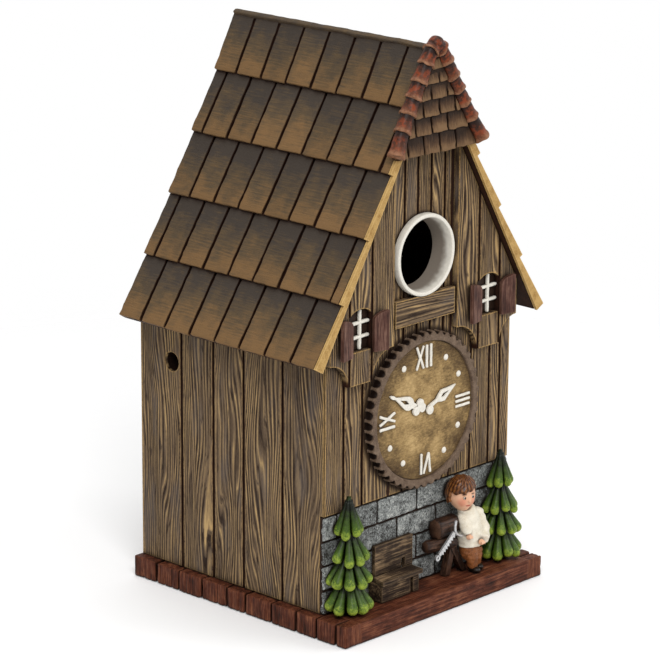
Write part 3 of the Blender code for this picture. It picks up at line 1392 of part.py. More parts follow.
def make_legs():
    """Trousers, and the shoes under them."""
    waist = (JUMPER_CENTRE_X, -FIGURE_Y, FLOOR + HEM_HEIGHT - GAP)
    hips = (JUMPER_CENTRE_X, -FIGURE_Y, FLOOR + LEFT_KNEE[2])
    radii = (WAIST_RADIUS * HIP_SHARE, WAIST_RADIUS)
    pieces = [column("hips", (hips, waist), radii, 12, JUMPER_DEPTH_SHARE)]
    for knee, ankle in ((LEFT_KNEE, LEFT_ANKLE), (RIGHT_KNEE, RIGHT_ANKLE)):
        thigh = (knee[0], knee[1], HEM_HEIGHT - THIGH_RADIUS)
        path = [before_wall(point) for point in (thigh, knee, ankle)]
        pieces.append(limb("leg", path, (THIGH_RADIUS, THIGH_RADIUS, ANKLE_RADIUS), 10, LIMB_END_SHARE))
    trousers = fused("figure_trousers", pieces)
    for name, ankle in (("figure_shoe_left", LEFT_ANKLE), ("figure_shoe_right", RIGHT_ANKLE)):
        cut(trousers, shoe(name + "_room", ankle, GAP))
        finish(shoe(name, ankle), SHOE_BLACK, GLOSS, smooth=True)
    finish(trousers, TAN, GLOSS, smooth=True)


def clear_scene():
    for existing in list(bpy.data.objects):
        bpy.data.objects.remove(existing)


def main():
    clear_scene()
    make_base()
    make_front_wall()
    make_side_wall("side_wall_left", -1)
    make_side_wall("side_wall_right", 1)
    make_back_wall()
    make_hatch()
    make_stone_band()
    make_slope("roof_slope_left", -1)
    make_slope("roof_slope_right", 1)
    make_verge("verge_board_left", -1)
    make_verge("verge_board_right", 1)
    make_hood()
    make_rake_tiles("rake_tiles_left", -1)
    make_rake_tiles("rake_tiles_right", 1)
    make_apex_tile()
    make_entry_ring()
    for side, word in ((-1, "left"), (1, "right")):
        make_wing("wing_panel_" + word, side)
        make_window_bars("window_bars_" + word, side)
        make_shutter(f"shutter_{word}_inner", side * WINDOW_INNER, -side)
        make_shutter(f"shutter_{word}_outer", side * (WINDOW_INNER + WINDOW_WIDTH), side)
    make_ledge()
    make_dial()
    make_hands()
    make_tree("fir_tree_left", LEFT_TREE_X, LEFT_TREE_HEIGHT, LEFT_TREE_SPREAD, TREE_TURN_SHARE)
    make_tree("fir_tree_right", RIGHT_TREE_X, RIGHT_TREE_HEIGHT, RIGHT_TREE_SPREAD, TREE_TURN_SHARE)
    make_bench()
    make_logs()
    make_sawhorse()
    make_saw()
    make_head()
    make_body()
    make_legs()


main()
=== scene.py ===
"""Cuckoo clock birdhouse in painted cast resin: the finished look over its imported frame.

Lengths are metres, +Z is up and the front faces -Y, as in the frame. Left and right are as one
looks at the front, so +X is on the right.
"""

import math
import random

import bmesh
import bpy
from mathutils import Matrix, Vector, noise


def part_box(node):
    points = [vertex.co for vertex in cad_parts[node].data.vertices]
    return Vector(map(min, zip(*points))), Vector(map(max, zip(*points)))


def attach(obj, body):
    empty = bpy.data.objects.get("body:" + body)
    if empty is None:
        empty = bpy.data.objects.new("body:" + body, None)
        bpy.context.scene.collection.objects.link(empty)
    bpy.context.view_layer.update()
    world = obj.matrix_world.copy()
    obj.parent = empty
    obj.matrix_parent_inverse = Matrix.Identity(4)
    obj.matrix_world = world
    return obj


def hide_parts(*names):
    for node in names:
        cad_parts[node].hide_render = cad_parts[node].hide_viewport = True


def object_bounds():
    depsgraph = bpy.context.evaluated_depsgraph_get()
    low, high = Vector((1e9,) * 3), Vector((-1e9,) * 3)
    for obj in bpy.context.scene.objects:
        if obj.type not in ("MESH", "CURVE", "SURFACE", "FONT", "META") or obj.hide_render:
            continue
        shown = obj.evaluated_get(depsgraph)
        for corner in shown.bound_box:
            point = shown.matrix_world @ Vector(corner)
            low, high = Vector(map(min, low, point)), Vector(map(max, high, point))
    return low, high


bl_info = {
    "name": "Cuckoo clock birdhouse",
    "version": (1, 0, 0),
    "blender": (4, 5, 0),
    "location": "View3D > Sidebar > Birdhouse",
    "description": "Builds and paints the pieces of a cuckoo clock birdhouse",
    "category": "Add Mesh",
}

# The field that roughens surfaces is the same in each run
noise.seed_set(1)

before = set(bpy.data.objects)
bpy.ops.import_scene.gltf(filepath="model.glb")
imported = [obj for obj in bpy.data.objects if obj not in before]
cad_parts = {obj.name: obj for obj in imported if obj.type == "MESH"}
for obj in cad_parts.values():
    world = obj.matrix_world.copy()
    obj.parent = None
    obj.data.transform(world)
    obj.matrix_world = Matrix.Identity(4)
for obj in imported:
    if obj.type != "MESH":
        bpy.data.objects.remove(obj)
CAD_LOW, CAD_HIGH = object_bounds()
MM = 0.001
UP = Vector((0, 0, 1))
SIDEWAYS = Vector((1, 0, 0))


# Shapes


def new_object(name, build, materials, smooth=True):
    """Object from a mesh in a bmesh; materials are given in the order of the faces' slots."""
    mesh = bpy.data.meshes.new(name)
    bmesh.ops.recalc_face_normals(build, faces=build.faces)
    build.to_mesh(mesh)
    build.free()
    if smooth:
        mesh.shade_smooth()
    made = bpy.data.objects.new(name, mesh)
    bpy.context.scene.collection.objects.link(made)
    for material in materials:
        made.data.materials.append(material)
    return made


def seat(piece, slot, *nodes, body="house"):
    """The piece rides on a body and stands for these nodes of the frame, which it hides; slot is not
    used.
    """
    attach(piece, body)
    if nodes:
        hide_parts(*nodes)
    return piece


def start_mesh():
    """Mesh whose vertices carry what the paint follows: tone, fade and grain."""
    build = bmesh.new()
    build.verts.layers.float.new("tone")
    build.verts.layers.float.new("fade")
    build.verts.layers.float_vector.new("grain")
    return build


def mark(build, verts, tone=0.5, fade=None, grain=None):
    """Writes tone, fade and grain on vertices; fade and grain are functions of a vertex."""
    tones = build.verts.layers.float["tone"]
    fades = build.verts.layers.float["fade"]
    grains = build.verts.layers.float_vector["grain"]
    for vert in verts:
        vert[tones] = tone
        vert[fades] = fade(vert) if fade else 0.5
        vert[grains] = grain(vert) if grain else vert.co / MM


def spread_marks(length, inset, count):
    """Places along an edge: both ends, a line close to each, and equal steps between."""
    inset = min(inset, length / 3)
    inner = [inset + (length - 2 * inset) * i / count for i in range(count + 1)]
    return [0, inset / 3, *inner, length - inset / 3, length]


def brick(build, size, radius, counts, place, tooth=None, seed=0):
    """Closed block with rounded edges, set out by place(local point) and roughened by its tooth."""
    lines = [spread_marks(length, radius, count) for length, count in zip(size, counts)]
    ends = [len(line) - 1 for line in lines]
    found = {}

    def vertex(key):
        if key in found:
            return found[key]
        local = Vector([lines[axis][key[axis]] for axis in range(3)])
        core = Vector([min(max(local[a], radius), size[a] - radius) for a in range(3)])
        away = local - core
        if away.length:
            local = core + away.normalized() * radius
        found[key] = build.verts.new(place(local))
        return found[key]

    for axis in range(3):
        first, second = [a for a in range(3) if a != axis]
        for level in (0, ends[axis]):
            for i in range(ends[first]):
                for j in range(ends[second]):
                    keys = []
                    for di, dj in ((0, 0), (1, 0), (1, 1), (0, 1)):
                        key = [0, 0, 0]
                        key[axis], key[first], key[second] = level, i + di, j + dj
                        keys.append(vertex(tuple(key)))
                    build.faces.new(keys)
    made = list(found.values())
    if tooth:
        roughen(made, tooth, seed)
    return made


def roughen(verts, tooth, seed):
    """Moves vertices along a smooth random field; tooth is how far, and how fine the field is."""
    amount, scale = tooth
    shift = Vector((seed * 3.7, seed * 1.9, seed * 5.3))
    for vert in verts:
        vert.co += noise.noise_vector(vert.co * scale + shift) * amount


def sweep(build, points, radii, sides, flat=1.0, closed_ends=True, side_axis=None):
    """Tube through points with a radius at each; flat squeezes it along the second axis."""
    points = [Vector(point) for point in points]
    across = side_axis
    rings = []
    for i, point in enumerate(points):
        ahead = points[min(i + 1, len(points) - 1)] - points[max(i - 1, 0)]
        ahead.normalize()
        if across is None:
            across = ahead.orthogonal()
        across = (across - ahead * across.dot(ahead)).normalized()
        second = ahead.cross(across)
        ring = []
        for k in range(sides):
            turn = 2 * math.pi * k / sides
            offset = across * math.cos(turn) + second * math.sin(turn) * flat
            ring.append(build.verts.new(point + offset * radii[i]))
        rings.append(ring)
    for low, high in zip(rings, rings[1:]):
        for k in range(sides):
            build.faces.new((low[k], low[(k + 1) % sides], high[(k + 1) % sides], high[k]))
    if closed_ends:
        build.faces.new(rings[0])
        build.faces.new(rings[-1])
    return [vert for ring in rings for vert in ring]


def ball(build, centre, radii, segments=24, rings=16, turn=None):
    """Ellipsoid, with an optional rotation matrix."""
    matrix = Matrix.Translation(Vector(centre))
    if turn:
        matrix = matrix @ turn.to_4x4()
    matrix = matrix @ Matrix.Diagonal((*radii, 1))
    made = bmesh.ops.create_uvsphere(
        build, u_segments=segments, v_segments=rings, radius=1, matrix=matrix
    )
    return made["verts"]


def quarter_turn(steps):
    """Angles from 0 to a right angle, in equal steps."""
    return [math.pi / 2 * step / steps for step in range(steps + 1)]


def revolve(build, profile, centre, steps):
    """Ring about a line through centre along Y; profile holds (radius, y) and is closed."""
    rings = []
    for i in range(steps):
        turn = 2 * math.pi * i / steps
        ring = []
        for radius, y in profile:
            x = centre[0] + radius * math.cos(turn)
            ring.append(build.verts.new((x, y, centre[1] + radius * math.sin(turn))))
        rings.append(ring)
    count = len(profile)
    for i in range(steps):
        first, second = rings[i], rings[(i + 1) % steps]
        for k in range(count):
            build.faces.new((first[k], second[k], second[(k + 1) % count], first[(k + 1) % count]))
    return [vert for ring in rings for vert in ring]


def plate(build, outline, front, back):
    """Flat piece with an outline of (x, z) points, between two planes across Y."""
    faces = []
    for y in (front, back):
        faces.append([build.verts.new((x, y, z)) for x, z in outline])
    build.faces.new(faces[0])
    build.faces.new(faces[1])
    for i in range(len(outline)):
        j = (i + 1) % len(outline)
        build.faces.new((faces[0][i], faces[0][j], faces[1][j], faces[1][i]))
    return faces[0] + faces[1]


def soften(piece, width, segments=2, angle=35.0):
    """Rounds the sharp edges of a piece."""
    bevel = piece.modifiers.new("Rounded edges", "BEVEL")
    bevel.width = width
    bevel.segments = segments
    bevel.limit_method = "ANGLE"
    bevel.angle_limit = math.radians(angle)
    bevel.harden_normals = False


def baked(piece):
    """Mesh of a piece with its modifiers applied."""
    graph = bpy.context.evaluated_depsgraph_get()
    graph.update()
    return bpy.data.meshes.new_from_object(piece.evaluated_get(graph))


def round_shade(piece, angle=40.0):
    """Shades a piece smooth across its blunt edges."""
    for polygon in piece.data.polygons:
        polygon.use_smooth = True
    build = bmesh.new()
    build.from_mesh(piece.data)
    limit = math.radians(angle)
    for edge in build.edges:
        edge.smooth = len(edge.link_faces) == 2 and edge.calc_face_angle(0) < limit
    build.to_mesh(piece.data)
    build.free()


# Paints


def tint(red, green, blue):
    """Linear colour from the red, green and blue of a colour chart, 0 to 255."""
    linear = []
    for level in (red, green, blue):
        share = level / 255
        linear.append(share / 12.92 if share <= 0.04045 else ((share + 0.055) / 1.055) ** 2.4)
    return (*linear, 1)


def between(first, second, share=0.5):
    """Colour a share of the way from the first to the second."""
    return tuple(a + (b - a) * share for a, b in zip(first, second))


def five_shades(dark, middle, bright):
    """Range of a dry-brushed finish, from its hollows to its edges."""
    return dark, between(dark, middle, 0.48), middle, between(middle, bright, 0.38), bright


SLATE_VEIL = tint(98, 90, 86)
RIM_OCHRE = tint(184, 148, 92)
# Pale ochre beside each joint of the planks, partly dry-brushed paint and partly painted highlight.
JOINT_BRUSH_AND_HIGHLIGHT = tint(168, 136, 92)
JOINT_BROWN = tint(48, 25, 15)
# Brown of the wash and painted shade on the walls: corners, grooves, rings round the dial and entry,
# inside the house.
WALL_WASH_AND_SHADE = tint(30, 17, 11)
# Near-black wash and painted shade in the corners of dark timber.
TIMBER_WASH_AND_SHADE = tint(16, 9, 6)
# Dark wash and painted shade in the hollows and corners of the stones.
STONE_WASH_AND_SHADE = tint(42, 33, 27)
MORTAR_DARK = tint(26, 18, 14)
MORTAR_LIGHT = tint(56, 42, 34)
VERGE_EDGE = tint(214, 180, 120)
# Brown painted shade on the underside of the verges and along their steps.
VERGE_WASH_AND_SHADE = tint(70, 44, 24)
# Brown wash and painted shade round the marks and frame of the dial.
DIAL_WASH_AND_SHADE = tint(44, 29, 18)
SCOOP_BLACK = tint(22, 12, 8)
SILVER_DARK = tint(150, 150, 150)
SILVER_LIGHT = tint(224, 224, 224)
FLOOR_DARK = tint(252, 252, 252)
FLOOR_LIGHT = tint(254, 254, 254)
EYE_SHADES = (tint(212, 196, 178), tint(96, 62, 40), tint(84, 52, 34), tint(38, 26, 20))
BED_SHADES = (tint(30, 17, 12), tint(48, 28, 19), tint(66, 40, 27))
PANE_SHADES = (tint(30, 20, 16), tint(46, 32, 25), tint(62, 46, 36))
LIP_SHADES = (tint(160, 76, 64), tint(186, 96, 80), tint(200, 112, 94))
LEATHER_SHADES = (tint(18, 14, 12), tint(32, 26, 22), tint(56, 46, 40))


class Paint:
    """One finish: a material and short ways to lay down its layers."""

    def __init__(self, name, roughness=0.6, coat=0.0, metallic=0.0, specular=0.12):
        self.material = bpy.data.materials.new(name)
        self.material.use_nodes = True
        self.tree = self.material.node_tree
        self.shader = self.tree.nodes["Principled BSDF"]
        self.shader.inputs["Roughness"].default_value = roughness
        self.shader.inputs["Metallic"].default_value = metallic
        self.shader.inputs["Specular IOR Level"].default_value = specular
        self.shader.inputs["Coat Weight"].default_value = coat
        self.shader.inputs["Coat Roughness"].default_value = 0.25

    def add(self, kind, sockets=(), **settings):
        """Node with its settings; sockets pairs an input's name or number with a value or link."""
        node = self.tree.nodes.new(kind)
        for name, value in settings.items():
            setattr(node, name, value)
        for key, value in dict(sockets).items():
            if isinstance(value, bpy.types.NodeSocket):
                self.tree.links.new(value, node.inputs[key])
            else:
                node.inputs[key].default_value = value
        return node

    def place(self):
        """Place on the object, in millimetres."""
        place = self.add("ShaderNodeTexCoord").outputs["Object"]
        scaled = self.add("ShaderNodeVectorMath", {0: place, "Scale": 1 / MM}, operation="SCALE")
        return scaled.outputs["Vector"]

    def read(self, name, output="Fac"):
        """Number or vector written on the mesh."""
        return self.add("ShaderNodeAttribute", attribute_name=name).outputs[output]

    def split(self, vector):
        return self.add("ShaderNodeSeparateXYZ", {0: vector}).outputs

    def join(self, x, y, z):
        return self.add("ShaderNodeCombineXYZ", {0: x, 1: y, 2: z}).outputs[0]

    def slope(self, value, start, end, low=0.0, high=1.0):
        """Soft step from low at start to high at end."""
        sockets = {"Value": value, "From Min": start, "From Max": end, "To Min": low, "To Max": high}
        node = self.add("ShaderNodeMapRange", sockets, interpolation_type="SMOOTHSTEP")
        return node.outputs[0]

    def math(self, operation, first, second=0.0, third=0.0):
        sockets = {0: first, 1: second, 2: third}
        return self.add("ShaderNodeMath", sockets, operation=operation).outputs[0]

    def weigh(self, first, share, second, other_share):
        """Sum of two products, such as two fields each times its share."""
        return self.math("MULTIPLY_ADD", first, share, self.math("MULTIPLY", second, other_share))

    def lean(self, base, field, share):
        """Raises or lowers a base by a share of how far a field from 0 to 1 is from its middle."""
        return self.math("MULTIPLY_ADD", self.math("SUBTRACT", field, 0.5), share, base)

    def stretch(self, vector, factors):
        node = self.add("ShaderNodeVectorMath", {0: vector, 1: factors}, operation="MULTIPLY")
        return node.outputs[0]

    def mottle(self, vector, scale, detail=3.0, roughness=0.55, distortion=0.0):
        """Cloudy noise from 0 to 1."""
        sockets = {"Vector": vector, "Scale": scale, "Detail": detail}
        sockets.update({"Roughness": roughness, "Distortion": distortion})
        return self.add("ShaderNodeTexNoise", sockets).outputs[0]

    def streaks(self, vector, factors, detail=3.0, roughness=0.6, distortion=0.0):
        """Noise drawn out along the axes whose factors are small."""
        return self.mottle(self.stretch(vector, factors), 1.0, detail, roughness, distortion)

    def ramp(self, value, stops, smooth=False):
        """Colours or levels laid along a value."""
        node = self.add("ShaderNodeValToRGB", {0: value})
        node.color_ramp.interpolation = "EASE" if smooth else "LINEAR"
        marks = node.color_ramp.elements
        while len(marks) < len(stops):
            marks.new(0.5)
        for element, (share, colour) in zip(marks, stops):
            element.position = share
            element.color = colour if isinstance(colour, tuple) else (colour, colour, colour, 1)
        return node.outputs[0]

    def shade(self, value, places, share, dark, middle, bright):
        """Dark, a tone a share of the way to the middle, middle and bright, each at its place."""
        tones = (dark, between(dark, middle, share), middle, bright)
        return self.ramp(value, list(zip(places, tones)))

    def blend(self, share, first, second, mode="MIX"):
        node = self.add("ShaderNodeMix", data_type="RGBA", blend_type=mode)
        for key, value in ((0, share), (6, first), (7, second)):
            if isinstance(value, bpy.types.NodeSocket):
                self.tree.links.new(value, node.inputs[key])
            else:
                node.inputs[key].default_value = value
        return node.outputs[2]

    def darken(self, colour, openness):
        return self.blend(1.0, colour, openness, "MULTIPLY")

    def crevice(self, distance, inside=False):
        """1 on open surfaces, towards 0 in corners and grooves, or on outer edges if inside."""
        node = self.add("ShaderNodeAmbientOcclusion", {"Distance": distance}, samples=6, inside=inside)
        return node.outputs["AO"]

    def wash(self, colour, dark, distance, start, end, strength=1.0):
        """Wash and painted shade in corners and grooves, from none at start to its full strength at
        end.
        """
        return self.blend(self.slope(self.crevice(distance), start, end, 0.0, strength), colour, dark)

    def brush_edges(self, colour, bright, distance, start, end, strength):
        """Dry brush along outer edges, from none at start to its full strength at end."""
        edge = self.slope(self.crevice(distance, inside=True), start, end, 0.0, strength)
        return self.blend(edge, colour, bright)

    def done(self, colour, height=None, depth=0.0):
        """Joins the layers to the shader; depth is how high the relief stands."""
        self.tree.links.new(colour, self.shader.inputs["Base Color"])
        if height is not None:
            sockets = {"Height": height, "Distance": depth, "Strength": 1.0}
            bump = self.add("ShaderNodeBump", sockets)
            self.tree.links.new(bump.outputs[0], self.shader.inputs["Normal"])
        return self.material


def find_planks(paint, side, length, third, joints):
    """Number of the plank at a point, and how far away the nearest joint is."""
    plank, joint_gap = 0.0, 9.0
    wander = paint.mottle(paint.join(side, paint.math("MULTIPLY", length, 0.35), third), 0.35, 2.0, 0.5)
    wandering = paint.math("ADD", side, paint.math("MULTIPLY_ADD", wander, 0.8, -0.4))
    for joint in joints:
        plank = paint.math("ADD", plank, paint.math("GREATER_THAN", wandering, joint / MM))
        away = paint.math("ABSOLUTE", paint.math("SUBTRACT", wandering, joint / MM))
        joint_gap = paint.math("MINIMUM", joint_gap, away)
    return plank, joint_gap


def carve_grain(paint, vector, third, pitch, warp):
    """Height of the carved lines of the grain, which drift, come and go, and are cut by gouges."""
    side, length, _ = paint.split(vector)
    drift = paint.streaks(vector, (0.050, 0.0105, 0.02), 0.0, 0.55)
    bend = paint.streaks(vector, (0.10, 0.021, 0.05), 0.0, 0.55)
    fine_drift = paint.streaks(vector, (0.45, 0.030, 0.1), 1.0, 0.5)
    shift = paint.weigh(bend, warp * 0.55, fine_drift, 1.5)
    shift = paint.math("MULTIPLY_ADD", drift, warp, shift)
    moved = paint.math("ADD", side, shift)
    phase = paint.math("DIVIDE", moved, pitch / MM)
    line = paint.math("MULTIPLY", paint.math("PINGPONG", phase, 0.5), 2.0)
    follow = paint.join(moved, length, third)
    strength = paint.streaks(follow, (0.40, 0.022, 0.1), 2.0, 0.6)
    force = paint.slope(strength, 0.30, 0.66, 0.40, 1.35)
    line = paint.math("MULTIPLY", paint.math("SUBTRACT", line, 0.5), force)
    streak = paint.streaks(follow, (1.3, 0.040, 0.5))
    gouge = paint.slope(paint.streaks(follow, (1.0, 0.075, 0.5)), 0.42, 0.30)
    height = paint.math("MULTIPLY_ADD", line, 0.66, paint.math("MULTIPLY_ADD", streak, 0.75, 0.18))
    return paint.math("MULTIPLY_ADD", gouge, -0.38, height)


def wood_paint(
    name, across, along, joints, shades, pitch, depth, warp=15.0, rim=0.0, shade_rings=(), face=0.0
):
    """Carved planks, dry-brushed: lines run along one axis, and each plank between joints differs.

    Rim is how strongly the outer edges are brushed with ochre. Shade rings are rings of painted
    shade on the front round the dial frame and entry ring, each as centre height, inner and outer
    radius. What lies behind a face, at this distance from the middle of the house, is painted dark
    as painted shade inside the house.
    """
    paint = Paint(name, roughness=0.66)
    x, y, z = paint.split(paint.place())
    axes = {"X": x, "Y": y, "Z": z}
    side, length = axes.pop(across), axes.pop(along)
    third = axes.popitem()[1]
    plank, joint_gap = find_planks(paint, side, length, third, joints)
    seed = paint.math("MULTIPLY", plank, 31.7)
    vector = paint.join(side, paint.math("ADD", length, seed), paint.math("ADD", third, seed))
    height = carve_grain(paint, vector, third, pitch, warp)
    patch = paint.streaks(vector, (0.07, 0.02, 0.05))
    speck = paint.streaks(vector, (1.6, 0.5, 1.0), 3.0, 0.7)
    value = paint.lean(height, patch, 0.50)
    value = paint.lean(value, speck, 0.30)
    dark, low, middle, high, bright = shades
    stops = ((0.22, dark), (0.40, low), (0.58, middle), (0.78, high), (0.97, bright))
    colour = paint.ramp(value, stops)
    veil = paint.streaks(vector, (0.11, 0.024, 0.1))
    colour = paint.blend(paint.slope(veil, 0.50, 0.68, 0.0, 0.42), colour, SLATE_VEIL)
    if rim:
        edge = paint.slope(paint.crevice(0.0008, inside=True), 0.92, 0.62)
        edge = paint.math("MULTIPLY", edge, paint.slope(speck, 0.36, 0.58, 0.2, rim))
        colour = paint.blend(edge, colour, RIM_OCHRE)
    # Wash and painted shade in corners and grooves; its wide reach paints the shade beside the wing
    # panels.
    wash_and_shade = paint.slope(paint.crevice(0.0031), 0.88, 0.44, 0.0, 0.9)
    if joints:
        groove = paint.slope(joint_gap, 1.15, 0.55)
        # Pale band beside each joint, partly dry brush and partly painted highlight on the planks'
        # edges.
        lit = paint.slope(joint_gap, 2.3, 1.3, 0.0, 0.5)
        lit = paint.math("MULTIPLY", lit, paint.slope(speck, 0.4, 0.6))
        colour = paint.blend(lit, colour, JOINT_BRUSH_AND_HIGHLIGHT)
        colour = paint.blend(groove, colour, JOINT_BROWN)
        height = paint.math("MULTIPLY_ADD", groove, -0.8, height)
    # Rings of painted shade round the dial frame and the entry ring, which stand out from the wall.
    for centre, inner, outer in shade_rings:
        rise = paint.math("SUBTRACT", z, centre / MM)
        ring = paint.math("SQRT", paint.weigh(x, x, rise, rise))
        wide = paint.slope(ring, outer / MM, inner / MM, 0.0, 0.9)
        wash_and_shade = paint.math("MAXIMUM", wash_and_shade, wide)
    # Painted shade inside the house: what lies behind the outer face of a side wall is darkened.
    if face:
        behind = paint.slope(paint.math("ABSOLUTE", third), face / MM - 1.0, face / MM - 1.8)
        wash_and_shade = paint.math("MAXIMUM", wash_and_shade, behind)
    colour = paint.blend(wash_and_shade, colour, WALL_WASH_AND_SHADE)
    return paint.done(colour, height, depth)


def streaked_paint(name, along, shades, depth=0.0003, roughness=0.55, coat=0.0):
    """Long soft streaks of red-brown laid over near-black, along one axis."""
    paint = Paint(name, roughness, coat)
    place = paint.place()
    stretch = {"X": (0.05, 0.9, 0.9), "Y": (0.9, 0.05, 0.9), "Z": (0.9, 0.9, 0.05)}[along]
    streak = paint.streaks(place, stretch, 4.0, 0.6, 0.3)
    fine = paint.streaks(place, [size * 3 for size in stretch])
    patch = paint.mottle(place, 0.10, 3.0, 0.6)
    value = paint.weigh(fine, 0.45, streak, 0.65)
    value = paint.lean(value, patch, 0.45)
    dark, low, middle, high, bright = shades
    stops = ((0.34, dark), (0.46, low), (0.55, middle), (0.64, high), (0.78, bright))
    colour = paint.ramp(value, stops)
    colour = paint.brush_edges(colour, high, 0.0009, 0.92, 0.60, 0.5)
    # Wash and painted shade in corners and grooves.
    colour = paint.wash(colour, TIMBER_WASH_AND_SHADE, 0.0022, 0.86, 0.40, 0.95)
    return paint.done(colour, value, depth)


def shingle_paint(name, top, middle, foot, joint, brush=(0.10, 1.3, 1.0)):
    """Slates that fade towards their lower edge, with faint brush strokes, dark joints and painted
    shade.
    """
    paint = Paint(name, roughness=0.6)
    grain = paint.read("grain", "Vector")
    fade = paint.read("fade")
    tone = paint.read("tone")
    cloud = paint.streaks(grain, (0.11, 0.09, 1.0))
    strokes = paint.streaks(grain, brush, 2.0, 0.5)
    specks = paint.streaks(grain, (1.6, 1.6, 1.0), 4.0, 0.7)
    value = paint.lean(fade, cloud, 1.0)
    value = paint.lean(value, strokes, 0.75)
    value = paint.lean(value, tone, 0.18)
    colour = paint.ramp(value, ((0.18, top), (0.55, middle), (0.95, foot)))
    light = paint.math("MULTIPLY_ADD", specks, 0.6, paint.math("MULTIPLY_ADD", tone, 0.16, 0.60))
    colour = paint.darken(colour, light)
    # Dark joints, with painted shade in them and under the foot of each course.
    colour = paint.wash(colour, joint, 0.0030, 0.93, 0.50)
    height = paint.weigh(strokes, 0.6, specks, 0.9)
    return paint.done(colour, height, 0.00035)


def cast_paint(name, dark, middle, light, scale=0.5, depth=0.0002, roughness=0.6, coat=0.0, wash=0.9):
    """Cast and painted surface: cloudy colour, painted shade in its corners, with a fine tooth."""
    paint = Paint(name, roughness, coat)
    place = paint.place()
    cloud = paint.mottle(place, scale * 0.3, 4.0, 0.6)
    tooth = paint.mottle(place, scale * 3, 4.0, 0.65)
    value = paint.weigh(tooth, 0.55, cloud, 0.45)
    colour = paint.ramp(value, ((0.32, dark), (0.50, middle), (0.68, light)))
    # Painted shade in corners and folds; wash is how dark it gets.
    open_share = paint.ramp(paint.crevice(0.0018), ((0.25, 1.0 - wash), (0.80, 1.0)))
    colour = paint.darken(colour, open_share)
    return paint.done(colour, tooth, depth)


def stone_paint(dark, middle, bright):
    """Grey stone, crackled and dry-brushed pale on its high spots."""
    paint = Paint("stone", roughness=0.6)
    place = paint.place()
    tone = paint.read("tone")
    rough = paint.mottle(place, 1.1, 5.0, 0.72, 0.6)
    veins = paint.mottle(place, 0.75, 3.0, 0.6, 1.5)
    crack = paint.slope(paint.math("ABSOLUTE", paint.math("SUBTRACT", veins, 0.5)), 0.035, 0.0)
    cloud = paint.mottle(place, 0.16, 3.0, 0.6)
    value = paint.lean(rough, cloud, 0.45)
    value = paint.lean(value, tone, 0.12)
    value = paint.math("MULTIPLY_ADD", crack, -0.14, value)
    colour = paint.shade(value, (0.34, 0.45, 0.55, 0.68), 0.5, dark, middle, bright)
    # Wash and painted shade in the corners between the stones.
    colour = paint.wash(colour, STONE_WASH_AND_SHADE, 0.0018, 0.86, 0.40)
    height = paint.math("MULTIPLY_ADD", crack, -0.3, rough)
    return paint.done(colour, height, 0.0011)


def mortar_paint():
    """Dark bed between the stones."""
    paint = Paint("mortar", roughness=0.8)
    tooth = paint.mottle(paint.place(), 1.5, 4.0, 0.65)
    colour = paint.ramp(tooth, ((0.35, MORTAR_DARK), (0.65, MORTAR_LIGHT)))
    return paint.done(colour, tooth, 0.0003)


def fir_paint(dark, middle, bright):
    """Glossy green, yellow-green on the tips, with near-black painted shade between the fronds."""
    paint = Paint("fir", roughness=0.36, coat=0.16)
    fade = paint.read("fade")
    place = paint.place()
    cloud = paint.mottle(place, 0.45, 3.0, 0.6)
    brush = paint.mottle(place, 1.8, 4.0, 0.65)
    value = paint.lean(fade, cloud, 0.75)
    value = paint.lean(value, brush, 0.5)
    colour = paint.shade(value, (0.16, 0.42, 0.72, 1.0), 0.4, dark, middle, bright)
    # Painted shade between the fronds.
    open_share = paint.slope(paint.crevice(0.0026), 0.40, 0.90, 0.06, 1.0)
    colour = paint.darken(colour, open_share)
    return paint.done(colour, brush, 0.0003)


def tile_paint(dark, middle, bright, heart_colour):
    """Fired tiles: dark red-brown, orange-red hearts, lips brushed pale, necks near-black as painted
    shade.
    """
    paint = Paint("clay tiles", roughness=0.45, coat=0.08)
    fade = paint.read("fade")
    place = paint.place()
    cloud = paint.mottle(place, 0.34, 4.0, 0.65)
    brush = paint.mottle(place, 1.5, 3.0, 0.6)
    value = paint.lean(fade, cloud, 0.8)
    value = paint.lean(value, brush, 0.4)
    # Near-black at the neck of each tile, under the lip of the tile above, is painted shade.
    colour = paint.shade(value, (0.15, 0.42, 0.72, 1.0), 0.45, dark, middle, bright)
    heart = paint.math("MULTIPLY", paint.slope(cloud, 0.46, 0.60), paint.slope(fade, 0.10, 0.45))
    heart = paint.math("MULTIPLY", heart, paint.slope(fade, 0.90, 0.65, 0.0, 0.65))
    colour = paint.blend(heart, colour, heart_colour)
    # Painted shade in the corners of the tiles.
    open_share = paint.slope(paint.crevice(0.0020), 0.35, 0.88, 0.12, 1.0)
    colour = paint.darken(colour, open_share)
    return paint.done(colour, brush, 0.0003)


def verge_paint(dark, bright):
    """Ochre edge of the roof, with brown painted shade on its underside and along its steps."""
    paint = Paint("verge ochre", roughness=0.6)
    place = paint.place()
    cloud = paint.mottle(place, 0.22, 4.0, 0.6)
    fine = paint.mottle(place, 1.6, 4.0, 0.7)
    value = paint.weigh(fine, 0.5, cloud, 0.5)
    colour = paint.ramp(value, ((0.34, dark), (0.50, between(dark, bright, 0.6)), (0.66, bright)))
    colour = paint.brush_edges(colour, VERGE_EDGE, 0.0007, 0.90, 0.60, 0.55)
    # Painted shade: brown under the verge and along its steps.
    colour = paint.wash(colour, VERGE_WASH_AND_SHADE, 0.0016, 0.80, 0.35, 0.85)
    return paint.done(colour, fine, 0.0002)


